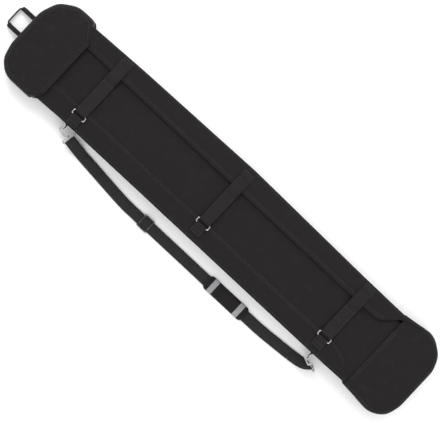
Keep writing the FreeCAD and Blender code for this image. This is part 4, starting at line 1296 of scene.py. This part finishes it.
class MakeGrab(CasePiece, bpy.types.Operator):
    """Grab loop at the nose and the strip that its ends are sewn under"""
    bl_idname = "drawing_case.grab"
    bl_label = "Grab loop"

    def build(self, sizes):
        low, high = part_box("grab_loop")
        near = low[1] + 7.5 * MM
        far = high[1] - 7.5 * MM
        legs = ((-0.829, 24.3), (-0.845, 20.3), (-0.862, 15.6), (-0.876, 11.6))
        points = [(x, far, z * MM) for x, z in legs] + [(-0.8875, far - 0.004, 9.0 * MM)]
        points += [(-0.8895, far - 0.016, 8.6 * MM), (-0.8897, (near + far) / 2, 8.6 * MM)]
        points += [(-0.8895, near + 0.016, 8.6 * MM), (-0.8875, near + 0.004, 9.0 * MM)]
        points += [(x, near, z * MM) for x, z in reversed(legs)]
        path = flowing(points, 7)
        sides = []
        for i, p in enumerate(path):
            ahead = (path[min(i + 1, len(path) - 1)] - path[max(i - 1, 0)]).normalized()
            turned = ease((abs(ahead.y) - 0.15) / 0.6)
            flat = Vector((0, -1, 0)) if p.y > (near + far) / 2 else Vector((0, 1, 0))
            sides.append((flat * (1 - turned) + Vector((0, 0, 1)) * turned).normalized())
        loop = swept("grab_loop_webbing", path, sides, strap_profile(15 * MM, 2.6 * MM), finish_of("strap"))
        stands_for(loop, "loop_swing", ["grab_loop"])
        base_low, base_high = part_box("loop_anchor")
        strip = slab("loop_anchor_tape", (base_low[1], base_high[1]),
                     level_edge(base_low[2]), level_edge(base_high[2]),
                     level(0.0), level(1.6 * MM), finish_of("tape"),
                     lambda a, b, h: Vector((base_high[0] - h, a, b)), step=0.003, lip=0.0007)
        stands_for(strip, "case", ["loop_anchor"])
        for z in (0.0125, 0.0235):
            ends = (base_low[1] + 3 * MM, base_high[1] - 3 * MM)
            seam("case", [Vector((base_low[0] - 0.3 * MM, y, z)) for y in ends])


class SewSeams(CasePiece, bpy.types.Operator):
    """Lay the stitches of every seam, one piece for each body"""
    bl_idname = "drawing_case.seams"
    bl_label = "Stitching"

    def build(self, sizes):
        tree = stitch_tree(finish_of("thread"))
        sockets = {item.name: item.identifier for item in tree.interface.items_tree}
        for body, lines in sorted(SEAMS.items()):
            points = []
            edges = []
            for line in lines:
                first = len(points)
                points += [tuple(p) for p in line]
                edges += [(first + i, first + i + 1) for i in range(len(line) - 1)]
            mesh = bpy.data.meshes.new("stitches_" + body)
            mesh.from_pydata(points, edges, [])
            piece = bpy.data.objects.new("stitches_" + body, mesh)
            bpy.context.scene.collection.objects.link(piece)
            rows = piece.modifiers.new("Stitch Rows", "NODES")
            rows.node_group = tree
            rows[sockets["Pitch"]] = sizes.stitch
            made_plain(piece)
            stands_for(piece, body, None)


class SetStage(bpy.types.Operator):
    """Pale floor, soft lights and the camera straight above"""
    bl_idname = "drawing_case.stage"
    bl_label = "Stage"

    def execute(self, context):
        paper = Paint("Pale floor")
        faint = paper.cloud(3.0, 2.0)
        sheet = paper.blend(faint, (0.93, 0.93, 0.93, 1.0), (0.95, 0.95, 0.95, 1.0))
        paint = paper.finish(sheet, 0.9)
        half = 6.0
        drop = -0.0006
        corners = [(x * half, y * half, drop) for x, y in ((-1, -1), (1, -1), (1, 1), (-1, 1))]
        floor = piece_of("studio_floor", corners, [(0, 1, 2, 3)], paint)
        scene = context.scene
        scene.view_settings.view_transform = "Standard"
        world = scene.world or bpy.data.worlds.new("Studio")
        scene.world = world
        world.use_nodes = True
        sky = world.node_tree.nodes.get("Background")
        sky.inputs["Color"].default_value = (1.0, 1.0, 1.0, 1.0)
        sky.inputs["Strength"].default_value = 1.0
        for name, place, size, power in (("key_light", (-2.2, 1.8, 2.6), 1.8, 62.0),
                                         ("fill_light", (2.4, -1.4, 2.8), 2.2, 35.0),
                                         ("rim_light", (0.6, 3.0, 1.6), 1.6, 30.0)):
            lamp = bpy.data.lights.new(name, "AREA")
            lamp.size = size
            lamp.energy = power
            holder = bpy.data.objects.new(name, lamp)
            holder.location = place
            holder.rotation_euler = (-Vector(place)).to_track_quat("-Z", "Y").to_euler()
            scene.collection.objects.link(holder)
        eye = bpy.data.cameras.new("camera")
        eye.lens = 100.0
        eye.sensor_width = 36.0
        holder = bpy.data.objects.new("camera", eye)
        holder.location = (0.0108, -0.0114, 3.90)
        holder.rotation_euler = (0.0, 0.0, math.radians(43.0))
        scene.collection.objects.link(holder)
        scene.camera = holder
        return {"FINISHED"}


STEPS = (MakeBack, MakeWalls, MakeCover, MakeFlap, MakeNose, MakeTail, MakeStraps, MakeCarry, MakeHardware,
         MakePad, MakeGrab, SewSeams, SetStage)


class DRAWINGCASE_PT_build(bpy.types.Panel):
    bl_label = "Drawing Case"
    bl_space_type = "VIEW_3D"
    bl_region_type = "UI"
    bl_category = "Drawing Case"

    def draw(self, context):
        look = context.scene.case_finish
        sizes = context.scene.case_sizes
        for step in STEPS:
            self.layout.operator(step.bl_idname)
        for group in (look, sizes):
            for key in group.bl_rna.properties.keys():
                if key not in ("rna_type", "name"):
                    self.layout.prop(group, key)


def register():
    for made in (CaseFinish, CaseSizes) + STEPS + (DRAWINGCASE_PT_build,):
        bpy.utils.register_class(made)
    bpy.types.Scene.case_finish = bpy.props.PointerProperty(type=CaseFinish)
    bpy.types.Scene.case_sizes = bpy.props.PointerProperty(type=CaseSizes)


def unregister():
    del bpy.types.Scene.case_sizes
    del bpy.types.Scene.case_finish
    for made in reversed((CaseFinish, CaseSizes) + STEPS + (DRAWINGCASE_PT_build,)):
        bpy.utils.unregister_class(made)


def main():
    register()
    for step in STEPS:
        group, name = step.bl_idname.split(".")
        getattr(getattr(bpy.ops, group), name)()


if __name__ == "__main__":
    main()
